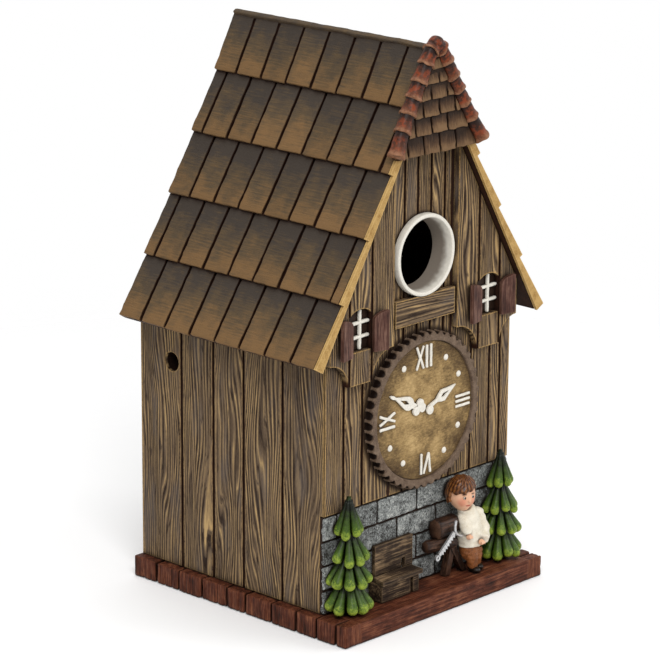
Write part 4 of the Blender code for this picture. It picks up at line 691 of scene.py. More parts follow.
def white_paint(name, shade, wash):
    """Hand-laid white with brown wash and painted shade in its corners."""
    paint = Paint(name, roughness=0.45, coat=0.1)
    cloud = paint.mottle(paint.place(), 0.9, 3.0, 0.6)
    colour = paint.ramp(cloud, ((0.30, between(wash, shade, 0.80)), (0.65, shade)))
    # Brown wash and painted shade in the corners.
    colour = paint.wash(colour, wash, 0.0012, 0.72, 0.30, 0.85)
    return paint.done(colour, cloud, 0.0001)


def sleeve_paint(shade, wash):
    """White flange whose sleeve is painted grey and then brown towards the inside, as painted shade."""
    paint = Paint("sleeve white", roughness=0.5, coat=0.1)
    place = paint.place()
    _, y, _ = paint.split(place)
    cloud = paint.mottle(place, 0.30, 4.0, 0.6)
    fine = paint.mottle(place, 1.2, 3.0, 0.6)
    white = paint.ramp(fine, ((0.30, between(wash, shade, 0.86)), (0.65, shade)))
    # Painted shade: the sleeve goes grey and then brown deeper into the hole.
    depth = paint.math("ADD", y, HOUSE_FRONT / MM + 2.0)
    value = paint.math("MULTIPLY_ADD", cloud, 4.0, depth)
    grey = paint.slope(value, 1.0, 6.5, 0.0, 0.94)
    colour = paint.blend(grey, white, between(wash, shade, 0.12))
    return paint.done(colour, fine, 0.0001)


def dial_paint(centre, dark, middle, bright):
    """Weathered ochre dial, clouded with brown and darker towards its rim."""
    paint = Paint("dial", roughness=0.55)
    place = paint.place()
    x, _, z = paint.split(place)
    dx = paint.math("SUBTRACT", x, centre[0] / MM)
    dz = paint.math("SUBTRACT", z, centre[1] / MM)
    radius = paint.math("SQRT", paint.weigh(dx, dx, dz, dz))
    cloud = paint.mottle(place, 0.085, 5.0, 0.66)
    fine = paint.mottle(paint.stretch(place, (0.5, 1.0, 1.2)), 1.1, 4.0, 0.7)
    value = paint.weigh(cloud, 0.70, fine, 0.45)
    edge = paint.slope(radius, 17.0, 34.0, 0.0, 0.20)
    value = paint.math("SUBTRACT", value, edge)
    colour = paint.shade(value, (0.26, 0.42, 0.54, 0.69), 0.4, dark, middle, bright)
    # Wash and painted shade round the numerals, dots and frame.
    colour = paint.wash(colour, DIAL_WASH_AND_SHADE, 0.0016, 0.84, 0.35, 0.9)
    return paint.done(colour, fine, 0.0002)


def frame_paint(dark, bright):
    """Brown frame of the dial, near-black in its scoops."""
    paint = Paint("dial frame", roughness=0.55)
    place = paint.place()
    cloud = paint.mottle(place, 0.30, 4.0, 0.6)
    fine = paint.mottle(place, 1.8, 4.0, 0.7)
    value = paint.weigh(fine, 0.5, cloud, 0.5)
    colour = paint.ramp(value, ((0.34, dark), (0.50, between(dark, bright)), (0.66, bright)))
    scooped = paint.slope(paint.read("fade"), 0.20, 0.62)
    colour = paint.blend(scooped, colour, SCOOP_BLACK)
    return paint.done(colour, fine, 0.0002)


# Roof

RIDGE_HEIGHT = 0.2684
EAVE_HEIGHT = 0.1325
EAVE_REACH = 0.07815
ROOF_RISE = RIDGE_HEIGHT - EAVE_HEIGHT
SLOPE_LENGTH = math.hypot(EAVE_REACH, ROOF_RISE)
COURSES = 5
COURSE_LENGTH = SLOPE_LENGTH / COURSES
COURSE_STEP = 0.0021
COURSE_SAG = 0.0010
SOFFIT_DEPTH = 0.0052
SLAB_FRONT = 0.0577
ROOF_BACK = 0.069
SHINGLE_PITCH = 0.01625
SHINGLE_SINK = 0.0018
SHINGLE_LAP = 0.0012
SHINGLE_THICKNESS = COURSE_STEP + 0.0004
SHINGLE_HEAD = 0.45
SHINGLE_SHORT = 0.0005
SHINGLE_SKEW = 0.0003
SHINGLE_TILT = 0.0002
SHINGLE_ROUNDING = 0.00055
SHINGLE_TOOTH = (0.00026, 330)
SHINGLE_CELL = 0.0022
JOINT_STARTS = (0.0547, 0.0618)
RIDGE_CAP = 0.0026
RIDGE_CAP_LAP = 0.0004
RIDGE_CAP_INSET = 0.0002
RIDGE_CAP_ROUNDING = 0.0006
RIDGE_CAP_TOOTH = (0.00020, 260)
RIDGE_WAVE = 0.0006
RIDGE_SINK = SHINGLE_SINK * 1.6
SLOPE_GAP = 0.00015
BED_INSET = 0.0003
BED_END = 0.0002


def slope_point(side, run, depth):
    """Point (x, z) on a slope, a run down from the ridge and a depth below its straight line."""
    x = (run * EAVE_REACH - depth * ROOF_RISE) / SLOPE_LENGTH
    z = RIDGE_HEIGHT - (run * ROOF_RISE + depth * EAVE_REACH) / SLOPE_LENGTH
    return side * x, z


def sag(run):
    """How far a slope hangs below its straight line."""
    return COURSE_SAG * math.sin(math.pi * run / SLOPE_LENGTH)


def course_joints(course):
    """Edges of the shingles of one course, from the back to the front."""
    edges = [ROOF_BACK]
    y = JOINT_STARTS[course % 2]
    while y > -SLAB_FRONT:
        edges.append(y)
        y -= SHINGLE_PITCH
    return [*edges, -SLAB_FRONT]


def lay_shingle(build, side, course, back, front, joint, rng):
    """Shingle of one course between two joints, thicker and lower towards its foot."""
    top = course * COURSE_LENGTH
    foot = top + COURSE_LENGTH
    upper = sag(top) + COURSE_STEP if course else 0.0
    lower = sag(foot)
    start = top - SHINGLE_LAP if course else RIDGE_CAP - RIDGE_CAP_LAP
    end = foot - rng.uniform(0, SHINGLE_SHORT)
    half = joint / 2
    width = back - front - (2 if front > -SLAB_FRONT and back < ROOF_BACK else 1) * half
    low_y = front + (half if front > -SLAB_FRONT else 0)
    skew = rng.uniform(-SHINGLE_SKEW, SHINGLE_SKEW)
    tilt = rng.uniform(0, SHINGLE_TILT)

    def place(local):
        share = local.y / (end - start)
        surface = upper + (lower - upper) * (start + local.y - top) / COURSE_LENGTH
        taper = SHINGLE_HEAD + (1 - SHINGLE_HEAD) * share
        depth = surface + tilt + (SHINGLE_THICKNESS - local.z) * taper
        x, z = slope_point(side, start + local.y, max(depth, 0))
        return Vector((x, low_y + local.x + skew * share, z))

    size = (width, end - start, SHINGLE_THICKNESS)
    counts = (max(2, round(width / SHINGLE_CELL)), 14, 1)
    seed = rng.randrange(1000)
    verts = brick(build, size, SHINGLE_ROUNDING, counts, place, SHINGLE_TOOTH, seed)

    def run_of(vert):
        return ((RIDGE_HEIGHT - vert.co.z) * ROOF_RISE + abs(vert.co.x) * EAVE_REACH) / SLOPE_LENGTH

    mark(
        build,
        verts,
        rng.random(),
        lambda vert: (run_of(vert) - top) / COURSE_LENGTH,
        lambda vert: Vector((vert.co.y / MM, run_of(vert) / MM, seed)),
    )


def cap_ridge(build, side, rng):
    """Unbroken rim along the ridge, above the ends of the grooves."""
    size = (ROOF_BACK + SLAB_FRONT, RIDGE_CAP, SHINGLE_THICKNESS)

    def place(local):
        wave = RIDGE_WAVE * (noise.noise(Vector((local.x * 75, 0, 0))) + 0.45)
        depth = max((SHINGLE_THICKNESS - local.z) + max(wave, 0), 0)
        x, z = slope_point(side, RIDGE_CAP_INSET + local.y, depth)
        return Vector((x, local.x - SLAB_FRONT, z))

    counts = (60, 4, 1)
    verts = brick(build, size, RIDGE_CAP_ROUNDING, counts, place, RIDGE_CAP_TOOTH, rng.randrange(99))
    seed = rng.randrange(99)

    def grain(vert):
        return Vector((vert.co.y / MM, vert.co.z / MM, seed))

    mark(build, verts, 0.3, lambda vert: 0.45, grain)


def make_slope(side, name, node, joint, paint, bed_paint):
    """One roof slope: a dark bed with every shingle laid on it."""
    rng = random.Random(11 + side)
    build = start_mesh()
    bed = [(side * SLOPE_GAP, RIDGE_HEIGHT - RIDGE_SINK)]
    for course in range(1, COURSES + 1):
        run = course * COURSE_LENGTH - BED_INSET
        bed.append(slope_point(side, run, sag(run) + SHINGLE_SINK))
        if course < COURSES:
            bed.append(slope_point(side, run, sag(run) + COURSE_STEP + SHINGLE_SINK))
    bed.append(slope_point(side, SLOPE_LENGTH - BED_INSET, SOFFIT_DEPTH))
    bed.append((side * SLOPE_GAP, RIDGE_HEIGHT - SOFFIT_DEPTH * SLOPE_LENGTH / EAVE_REACH))
    plate(build, bed, -SLAB_FRONT + BED_END, ROOF_BACK - BED_END)
    for face in build.faces:
        face.material_index = 1
    for course in range(COURSES):
        edges = course_joints(course)
        for back, front in zip(edges, edges[1:]):
            lay_shingle(build, side, course, back, front, joint, rng)
    cap_ridge(build, side, rng)
    slope = new_object(name, build, (paint, bed_paint), smooth=False)
    round_shade(slope)
    return seat(slope, "shingles", node)


# Base

BASE_WIDTH = 0.138
BASE_DEPTH = 0.140
BASE_HEIGHT = 0.0104
BASE_RIM = 0.010
BASE_JOINTS = (0.394, 0.282, 0.171, 0.051, -0.035, -0.158, -0.273, -0.366, -0.452)
BASE_ROUNDING = 0.0007
BLOCK_SLACK = 0.0004
BLOCK_LIFT = 0.0003
BLOCK_CELL = 0.0006
SLAB_LAP = 0.0006
SLAB_LIFT = 0.0002
SLAB_TOOTH = (0.0002, 260)
CUT_DEPTH = 0.00075
CUT_FINENESS = (620, 60)
NICK_DEPTH = 0.00045
NICK_FINENESS = 260
FRONT_NICK_DEPTH = 0.00035
TOP_CUT_DEPTH = 0.0006
FOOT_CUT_DEPTH = 0.0004
DRAIN_RADIUS = 0.003
DRAINS = (0.032, 0.035)


def chisel(verts, low, high, seed):
    """Fine upright cuts in faces across X, and nicks along the edges, kept between two corners."""
    for vert in verts:
        x, y, z = vert.co
        cut = noise.noise(Vector((seed, y * CUT_FINENESS[0], z * CUT_FINENESS[1])))
        nick = noise.noise(Vector((x * NICK_FINENESS + seed, y * NICK_FINENESS, z * NICK_FINENESS)))
        vert.co.x -= math.copysign(CUT_DEPTH * max(cut, 0) + NICK_DEPTH * max(nick, 0), x)
        vert.co.y -= math.copysign(FRONT_NICK_DEPTH * max(nick, 0), y)
        depth = TOP_CUT_DEPTH if z > BASE_HEIGHT / 2 else -FOOT_CUT_DEPTH
        vert.co.z -= depth * max(cut + nick * 0.5, 0)
        for axis in range(3):
            vert.co[axis] = min(max(vert.co[axis], low[axis]), high[axis])


def make_base(joint, side_paint, top_paint):
    """Slab with a row of hewn blocks down each side and a long board across the front."""
    rng = random.Random(21)
    half_x, half_y = BASE_WIDTH / 2, BASE_DEPTH / 2
    low, high = Vector((-half_x, -half_y, 0)), Vector((half_x, half_y, BASE_HEIGHT))
    build = start_mesh()
    for side in (-1, 1):
        edges = [half_y, *[share * BASE_DEPTH for share in BASE_JOINTS], -half_y]
        for back, front in zip(edges, edges[1:]):
            start = front + (joint / 2 if front > -half_y else 0)
            end = back - (joint / 2 if back < half_y else 0)
            drop = rng.uniform(0, BLOCK_SLACK)
            inset = rng.uniform(0, BLOCK_SLACK)
            size = (BASE_RIM, end - start, BASE_HEIGHT - drop)
            left = half_x - BASE_RIM - inset if side > 0 else -half_x + inset
            corner = Vector((left, start, rng.uniform(0, BLOCK_LIFT)))
            counts = (4, max(5, round(size[1] / BLOCK_CELL)), 7)

            def place(local, corner=corner):
                return corner + local

            verts = brick(build, size, BASE_ROUNDING, counts, place)
            chisel(verts, low, high, rng.randrange(99))
            mark(build, verts, rng.random())
    blocks = new_object("base_blocks", build, (side_paint,), smooth=False)
    round_shade(blocks)
    seat(blocks, "base_wood", "base_plinth")
    slab = start_mesh()
    corner = Vector((-half_x + BASE_RIM - SLAB_LAP, -half_y, SLAB_LIFT))
    size = (BASE_WIDTH - 2 * BASE_RIM + 2 * SLAB_LAP, BASE_DEPTH, BASE_HEIGHT - SLAB_LIFT)
    verts = brick(slab, size, BASE_ROUNDING, (60, 60, 5), lambda local: corner + local, SLAB_TOOTH, 4)
    for vert in verts:
        vert.co.y = min(max(vert.co.y, low.y), high.y)
        vert.co.z = min(max(vert.co.z, SLAB_LIFT / 2), high.z - SLAB_LIFT / 2)
    mark(slab, verts)
    board = new_object("base_slab", slab, (top_paint,), smooth=False)
    drill_drains(board)
    round_shade(board)
    return seat(board, "base_wood")


def drill_drains(board):
    """Four drain holes through the slab."""
    build = bmesh.new()
    for x in (-DRAINS[0], DRAINS[0]):
        for y in (-DRAINS[1], DRAINS[1]):
            place = Matrix.Translation((x, y, BASE_HEIGHT / 2))
            bmesh.ops.create_cone(
                build,
                cap_ends=True,
                segments=24,
                radius1=DRAIN_RADIUS,
                radius2=DRAIN_RADIUS,
                depth=BASE_HEIGHT * 2,
                matrix=place,
            )
    drills = new_object("drills", build, ())
    boring = board.modifiers.new("Drain holes", "BOOLEAN")
    boring.operation = "DIFFERENCE"
    boring.solver = "EXACT"
    boring.object = drills
    bored = baked(board)
    board.modifiers.clear()
    board.data = bored
    bpy.data.objects.remove(drills)


# Stone band

HOUSE_FRONT = 0.0511
HALF_HOUSE = 0.0637
GAP = 0.0003
STONE_HEIGHT = 0.0576
STONE_THICKNESS = 0.0022
STONE_COURSES = 4
STONE_LENGTH = 0.0271
STONE_SHIFTS = (-0.0142, -0.0006)
STONE_SWELL = 0.00025
STONE_SET_BACK = 0.0002
STONE_ROUNDING = 0.0007
STONE_TOOTH = (0.00032, 420)
STONE_CELL = 0.0012
MORTAR_DEPTH = 0.0010
ON_WALL = -HOUSE_FRONT - GAP


def make_stone_band(mortar_width, paint, bed_paint):
    """Rough stones in four courses on a bed of mortar."""
    rng = random.Random(5)
    build = start_mesh()
    low, high = BASE_HEIGHT + GAP, STONE_HEIGHT - GAP
    bed = [(-HALF_HOUSE, low), (HALF_HOUSE, low), (HALF_HOUSE, high), (-HALF_HOUSE, high)]
    plate(build, bed, -HOUSE_FRONT + MORTAR_DEPTH, -HOUSE_FRONT + STONE_THICKNESS)
    for face in build.faces:
        face.material_index = 1
    height = (STONE_HEIGHT - BASE_HEIGHT) / STONE_COURSES
    for course in range(STONE_COURSES):
        low = BASE_HEIGHT + GAP + course * height
        shift = STONE_SHIFTS[course % 2]
        joints = [shift + i * STONE_LENGTH for i in range(-3, 4)]
        inner = [x for x in joints if abs(x) < HALF_HOUSE - STONE_THICKNESS]
        joints = [-HALF_HOUSE, *inner, HALF_HOUSE]
        for left, right in zip(joints, joints[1:]):
            start = left + (mortar_width / 2 if left > -HALF_HOUSE else 0)
            end = right - (mortar_width / 2 if right < HALF_HOUSE else 0)
            tall = height - mortar_width - (GAP if course == 0 else 0)
            deep = STONE_THICKNESS - STONE_SET_BACK
            corner = Vector((start, -HOUSE_FRONT, low))
            counts = (max(4, round((end - start) / STONE_CELL)), 1, 8)

            def place(local, corner=corner, wide=end - start, tall=tall):
                u, w = local.x / wide * 2 - 1, local.z / tall * 2 - 1
                swell = STONE_SWELL * (1 - u**4) * (1 - w**4)
                return corner + local - Vector((0, swell * (1 - local.y / deep), 0))

            size = (end - start, deep, tall)
            verts = brick(build, size, STONE_ROUNDING, counts, place, STONE_TOOTH, rng.randrange(99))
            mark(build, verts, rng.random())
    band = new_object("stone_blocks", build, (paint, bed_paint), smooth=False)
    round_shade(band)
    return seat(band, "stone", "stone_band")


# Gable hood

HOOD_FOOT = 0.2195
HOOD_FRONT = 0.0614
HOOD_LEAN = 0.0020
HOOD_PLATE = 0.0034
HOOD_HEIGHT = RIDGE_HEIGHT - HOOD_FOOT
HOOD_ROWS = (0.0, 0.188, 0.356, 0.505, 0.650, 0.777, 1.0)
HOOD_JOINT_PITCH = 0.0108
HOOD_JOINT_SHIFT = 0.0013
HOOD_BOARD = 0.0012
HOOD_SMALLEST = 0.003
HOOD_SHINGLE = 0.0019
HOOD_LAP = 0.0010
HOOD_TILT = 0.0016
HOOD_DROP = 0.0007
HOOD_ROUNDING = 0.0005
HOOD_TOOTH = (0.00042, 380)
HOOD_CELL = 0.0012
HOOD_POINT = 0.0002


def roof_reach(height, depth=0.0):
    """Half width of the roof at a height, or of a line a depth below its surface."""
    return ((RIDGE_HEIGHT - height) * EAVE_REACH - depth * SLOPE_LENGTH) / ROOF_RISE


def hood_lip(share):
    """Place (y, z) of the hood's surface at a share of its height."""
    return -(HOOD_FRONT - HOOD_LEAN * share), HOOD_FOOT + HOOD_HEIGHT * share


def make_hood(joint, paint):
    """Small shingles in six rows over the top of the gable."""
    rng = random.Random(8)
    build = start_mesh()
    back = -HOOD_FRONT + HOOD_PLATE
    reach = roof_reach(HOOD_FOOT, COURSE_STEP)
    outline = [(-reach, HOOD_FOOT), (reach, HOOD_FOOT), (0, RIDGE_HEIGHT - COURSE_STEP)]
    plate(build, outline, back - HOOD_BOARD, back)
    core = roof_reach(HOOD_FOOT, SOFFIT_DEPTH + GAP)
    peak = RIDGE_HEIGHT - (SOFFIT_DEPTH + GAP) * SLOPE_LENGTH / EAVE_REACH
    plate(build, [(-core, HOOD_FOOT), (core, HOOD_FOOT), (0, peak)], back - HOOD_POINT, ON_WALL)
    mark(build, build.verts, 0.2, lambda vert: 0.1)
    for row, (share, above) in enumerate(zip(HOOD_ROWS, HOOD_ROWS[1:])):
        y_low, z_low = hood_lip(share)
        _, z_high = hood_lip(above)
        shift = HOOD_JOINT_SHIFT - (row % 2) * HOOD_JOINT_PITCH / 2
        wide = roof_reach(z_low, COURSE_STEP)
        joints = [shift + i * HOOD_JOINT_PITCH for i in range(-4, 5)]
        joints = [-wide, *[x for x in joints if abs(x) < wide - HOOD_SMALLEST], wide]
        if row == len(HOOD_ROWS) - 2:
            joints = [-wide, wide]
        for left, right in zip(joints, joints[1:]):
            drop = rng.uniform(0, HOOD_DROP)
            size = (right - left - joint, HOOD_SHINGLE, z_high - z_low + HOOD_LAP + drop)

            def place(local, left=left, size=size, drop=drop, y_low=y_low, z_low=z_low):
                share_up = local.z / size[2]
                z = z_low - drop + local.z
                limit = max(roof_reach(z, COURSE_STEP), HOOD_POINT)
                x = min(max(left + joint / 2 + local.x, -limit), limit)
                return Vector((x, y_low + HOOD_TILT * share_up + local.y, z))

            counts = (max(3, round(size[0] / HOOD_CELL)), 1, 7)
            seed = rng.randrange(1000)
            verts = brick(build, size, HOOD_ROUNDING, counts, place, HOOD_TOOTH, seed)
            mark(
                build,
                verts,
                rng.random(),
                lambda vert, z=z_low, top=z_high: 1 - (vert.co.z - z) / (top - z),
                lambda vert, seed=seed: Vector((vert.co.x / MM, vert.co.z / MM, seed)),
            )
    hood = new_object("hood_shingles", build, (paint,), smooth=False)
    round_shade(hood)
    return seat(hood, "hood_shingles", "gable_hood")


# Clay tiles

TILE_LIP_RADIUS = 0.0042
TILE_RAISE = 0.0016
TILE_CENTRE = 0.0583
TILE_FLARE = 0.0034
TILE_SHARES = (0.037, 0.241, 0.393, 0.530, 0.667, 0.822, 0.945)
TILE_STEPS = (0.035, 0.0, 0.0, 0.03, 0.09, 0.18, 0.32, 0.50, 0.70, 0.88, 1.0)
TILE_SWELLS = (0.74, 0.84, 0.97, 1.0, 0.985, 0.90, 0.85, 0.82, 0.79, 0.77, 0.76)
TILE_SCALLOP = 0.00030
TILE_SCALLOP_SHARE = 0.25
TILE_TOOTH = (0.00030, 330)
TILE_LAP = 0.0012
APEX_LIP = 1.03
APEX_BALL = 0.93
APEX_TOOTH = (0.00025, 330)


def tile_centre(side, share):
    """Point on the line of the rake tiles at a share of the hood's height."""
    z = HOOD_FOOT + HOOD_HEIGHT * share
    flare = (1 - min(share / TILE_SHARES[-2], 1)) ** 3
    return Vector((side * roof_reach(z, -TILE_RAISE), -TILE_CENTRE - TILE_FLARE * flare, z))


def lay_tile(build, lip, neck, lip_radius, seed):
    """Tapered barrel with a blunt, flared and scalloped lip; fade is 1 at its lip and 0 at its neck."""
    along = neck - lip
    length = along.length
    points = [lip + along * share for share in TILE_STEPS]
    verts = sweep(build, points, [lip_radius * size for size in TILE_SWELLS], 30)
    side = along.orthogonal().normalized()
    for vert in verts:
        share = (vert.co - lip).dot(along) / length**2
        centre = lip + along * share
        out = (vert.co - centre).normalized()
        turn = math.atan2(out.dot(along.cross(side).normalized()), out.dot(side))
        near_lip = max(1 - share / TILE_SCALLOP_SHARE, 0)
        vert.co += along / length * (TILE_SCALLOP * math.sin(turn * 4 + seed) * near_lip)
    roughen(verts, TILE_TOOTH, seed)

    def fade(vert):
        share = (vert.co - lip).dot(along) / length**2
        return min(max(1.0 - share * 1.15, 0), 1)

    mark(build, verts, 0.5, fade)


def make_rake_tiles(side, name, node, paint):
    """Row of tiles up one edge of the hood, each lip over the neck of the one below."""
    build = start_mesh()
    for number, (share, above) in enumerate(zip(TILE_SHARES, TILE_SHARES[1:])):
        lip = tile_centre(side, share)
        neck = tile_centre(side, above)
        neck += (neck - lip).normalized() * TILE_LAP
        lay_tile(build, lip, neck, TILE_LIP_RADIUS, number + 20 * side)
    return seat(new_object(name, build, (paint,)), "clay_tiles", node)


def make_apex_tile(paint):
    """Bent tile over the point: two barrels that meet in a ball."""
    build = start_mesh()
    peak = Vector((0, -TILE_CENTRE, CAD_HIGH[2] - TILE_LIP_RADIUS))
    for side in (-1, 1):
        lip = tile_centre(side, TILE_SHARES[-1])
        lay_tile(build, lip, peak, TILE_LIP_RADIUS * APEX_LIP, 40 + side)
    verts = ball(build, peak, (TILE_LIP_RADIUS * APEX_BALL,) * 3)
    roughen(verts, APEX_TOOTH, 9)
    mark(build, verts, 0.5, lambda vert: 0.35)
    return seat(new_object("top_tile", build, (paint,)), "clay_tiles", "apex_tile")


# Entry ring, windows and dial

ENTRY_HEIGHT = 0.1698
ENTRY_RADIUS = 0.016
ENTRY_FLANGE_RADIUS = 0.0194
ENTRY_FLANGE = 0.0034
MOUTH_RADIUS = 0.0175
SLEEVE_WALL = 0.0020
ENTRY_TOOTH = (0.00012, 110)
WINDOW_INNER = 0.0365
WINDOW_WIDTH = 0.0148
WINDOW_SILL = 0.1331
WINDOW_SPRING = 0.1487
WINDOW_RISE = 0.0042
BAR_SHIFT = 0.0010
BAR_SHARES = (0.40, 0.83)
BAR_WIDTH = 0.0015
BAR_FRONT = 0.0021
BAR_END_GAP = 0.0003
BAR_SLOPE = (-0.0001, 0.0002)
UPRIGHT_LEAN = 0.0001
PANE_INSET = 0.0002
PANE_THICKNESS = 0.0004
DIAL_HEIGHT = 0.0955
DIAL_RADIUS = 0.0329
DIAL_THICKNESS = 0.0028
DIAL_FRAME_WIDTH = 0.0048
DIAL_FRAME_THICKNESS = 0.0040
DIAL_FRAME_ROUNDING = 0.0009
DIAL_FRAME_BEVEL = ((0.0, 0.0005), (0.0002, 0.0001), (0.0006, 0.0))
DIAL_FRAME_TOOTH = (0.00014, 260)
DIAL_NOTCHES = 46
DIAL_NOTCH_WIDTH = 0.0043
DIAL_NOTCH_LENGTH = 0.0076
DIAL_NOTCH_RUN = -0.0022
DOT_RADIUS = 0.00155
DOT_RING = 0.0268
DOT_ANGLES = (57, 28, -28, -58, -122, -150, 122)
MARK_SINK = 0.0002
MARK_TOOTH = (0.00010, 500)
MARK_CELL = 0.0009
NUMERAL_STROKES = (
    ((-0.0060, 0.0315), (-0.0012, 0.0204), 0.0013),
    ((-0.0014, 0.0315), (-0.0060, 0.0204), 0.0011),
    ((0.0009, 0.0315), (0.0009, 0.0204), 0.0014),
    ((0.0038, 0.0315), (0.0038, 0.0204), 0.0014),
    ((0.0214, 0.0017), (0.0314, 0.0017), 0.0013),
    ((0.0214, -0.0007), (0.0314, -0.0007), 0.0013),
    ((0.0214, -0.0032), (0.0314, -0.0032), 0.0013),
    ((-0.0308, 0.0034), (-0.0204, -0.0008), 0.0013),
    ((-0.0308, -0.0010), (-0.0204, 0.0034), 0.0013),
    ((-0.0308, -0.0032), (-0.0204, -0.0032), 0.0014),
    ((-0.0020, -0.0311), (-0.0020, -0.0208), 0.0013),
    ((-0.0004, -0.0311), (0.0030, -0.0212), 0.0012),
    ((0.0042, -0.0311), (0.0030, -0.0212), 0.0012),
)


def make_entry_ring(depth, rounding, paint):
    """Sleeve with a soft, hand-painted flange."""
    front = ON_WALL - ENTRY_FLANGE
    inner = ENTRY_RADIUS
    profile = []
    for turn in quarter_turn(6):
        radius = MOUTH_RADIUS + rounding * (1 - math.cos(turn))
        profile.append((radius, front + rounding * (1 - math.sin(turn))))
    for turn in quarter_turn(6):
        round_in = rounding * (1 - math.sin(turn))
        profile.append((ENTRY_FLANGE_RADIUS - round_in, front + rounding * (1 - math.cos(turn))))
    profile.append((ENTRY_FLANGE_RADIUS, ON_WALL))
    back = -HOUSE_FRONT + depth
    profile += [(inner + SLEEVE_WALL, ON_WALL), (inner + SLEEVE_WALL, back), (inner, back)]
    for share in (0.25, 0.5, 0.75, 0.9):
        radius = inner + (MOUTH_RADIUS - inner) * share
        profile.append((radius, back + (front + rounding - back) * share))
    build = start_mesh()
    verts = revolve(build, profile, (0, ENTRY_HEIGHT), 96)
    roughen(verts, ENTRY_TOOTH, 3)
    ring = new_object("entry_sleeve", build, (paint,), smooth=False)
    round_shade(ring, 50)
    return seat(ring, "white_paint", "entry_ring")


def stroke(build, start, end, width, back, front, seed=0):
    """Raised bar with rounded edges on a face across Y, between two (x, z) points."""
    start, end = Vector((start[0], 0, start[1])), Vector((end[0], 0, end[1]))
    along = (end - start).normalized()
    across = Vector((along.z, 0, -along.x))
    length = (end - start).length

    def place(local):
        point = start + along * local.x + across * (local.z - width / 2)
        return Vector((point.x, front + local.y, point.z))

    size = (length, back - front, width)
    counts = (max(3, round(length / MARK_CELL)), 2, 2)
    verts = brick(build, size, min(width, back - front) * 0.42, counts, place, MARK_TOOTH, seed)
    mark(build, verts)


def make_window(side, paint, glass_paint, name, node):
    """White glazing bars, and the dark pane behind them."""
    rng = random.Random(30 + side)
    build = start_mesh()
    middle = side * (WINDOW_INNER + WINDOW_WIDTH / 2)
    back, front = ON_WALL - PANE_INSET, ON_WALL - BAR_FRONT
    top = WINDOW_SPRING + WINDOW_RISE - 2 * PANE_INSET
    upright = middle + BAR_SHIFT
    bars = [((upright, WINDOW_SILL + BAR_END_GAP), (upright + UPRIGHT_LEAN, top))]
    for share in BAR_SHARES:
        z = WINDOW_SILL + share * (WINDOW_SPRING - WINDOW_SILL)
        reach = WINDOW_WIDTH / 2 - BAR_END_GAP
        bars.append(((middle - reach, z + BAR_SLOPE[0]), (middle + reach, z + BAR_SLOPE[1])))
    for start, end in bars:
        stroke(build, start, end, BAR_WIDTH, back, front, rng.randrange(99))
    seat(new_object(name, build, (paint,)), "white_paint", node)
    pane = start_mesh()
    outline = []
    reach = WINDOW_WIDTH / 2 - PANE_INSET
    for step in range(21):
        turn = math.pi * step / 20
        rise = (WINDOW_RISE - PANE_INSET) * math.sin(turn)
        outline.append((middle + reach * math.cos(turn), WINDOW_SPRING + rise))
    outline += [(middle - reach, WINDOW_SILL + PANE_INSET), (middle + reach, WINDOW_SILL + PANE_INSET)]
    plate(pane, outline, ON_WALL - PANE_THICKNESS, ON_WALL)
    seat(new_object(name + "_pane", pane, (glass_paint,), smooth=False), "dark_timber")


def make_dial_frame(depth, paint):
    """Rounded frame with a row of deep oval scoops round its outer edge; fade is 1 in a scoop."""
    build = start_mesh()
    inner = DIAL_RADIUS + GAP
    outer = DIAL_RADIUS + DIAL_FRAME_WIDTH
    front = ON_WALL - DIAL_FRAME_THICKNESS
    profile = [(inner, ON_WALL), (inner, ON_WALL - DIAL_FRAME_THICKNESS / 2)]
    profile += [(inner + across, front + deep) for across, deep in DIAL_FRAME_BEVEL]
    start = DIAL_FRAME_BEVEL[-1][0]
    flat = outer - inner - start - DIAL_FRAME_ROUNDING
    profile += [(inner + start + flat * step / 10, front) for step in range(1, 11)]
    for turn in quarter_turn(5)[1:]:
        radius = outer - DIAL_FRAME_ROUNDING * (1 - math.sin(turn))
        profile.append((radius, front + DIAL_FRAME_ROUNDING * (1 - math.cos(turn))))
    profile += [(outer, front + (ON_WALL - front) * share) for share in (0.38, 0.55, 0.72, 0.88)]
    profile.append((outer, ON_WALL))
    verts = revolve(build, profile, (0, DIAL_HEIGHT), DIAL_NOTCHES * 16)
    depths = {}
    for vert in verts:
        out = Vector((vert.co.x, 0, vert.co.z - DIAL_HEIGHT))
        turn = math.atan2(out.z, out.x) * DIAL_NOTCHES / math.tau
        across = (turn - round(turn)) * math.tau * out.length / DIAL_NOTCHES
        run = outer - out.length - (vert.co.y - front)
        sideways = across / (DIAL_NOTCH_WIDTH / 2)
        lengthways = (run - DIAL_NOTCH_RUN) / (DIAL_NOTCH_LENGTH / 2)
        scoop = math.sqrt(max(1 - sideways**2 - lengthways**2, 0))
        depths[vert] = scoop
        inwards = (Vector((0, 1, 0)) - out.normalized()).normalized()
        vert.co += inwards * (depth * scoop)
        vert.co.y = min(vert.co.y, ON_WALL)
    roughen(verts, DIAL_FRAME_TOOTH, 6)
    for vert in verts:
        vert.co.y = min(vert.co.y, ON_WALL)
    mark(build, verts, 0.5, lambda vert: depths[vert])
    rim = new_object("dial_rim", build, (paint,), smooth=False)
    round_shade(rim, 50)
    return seat(rim, "dial_frame", "dial_frame")


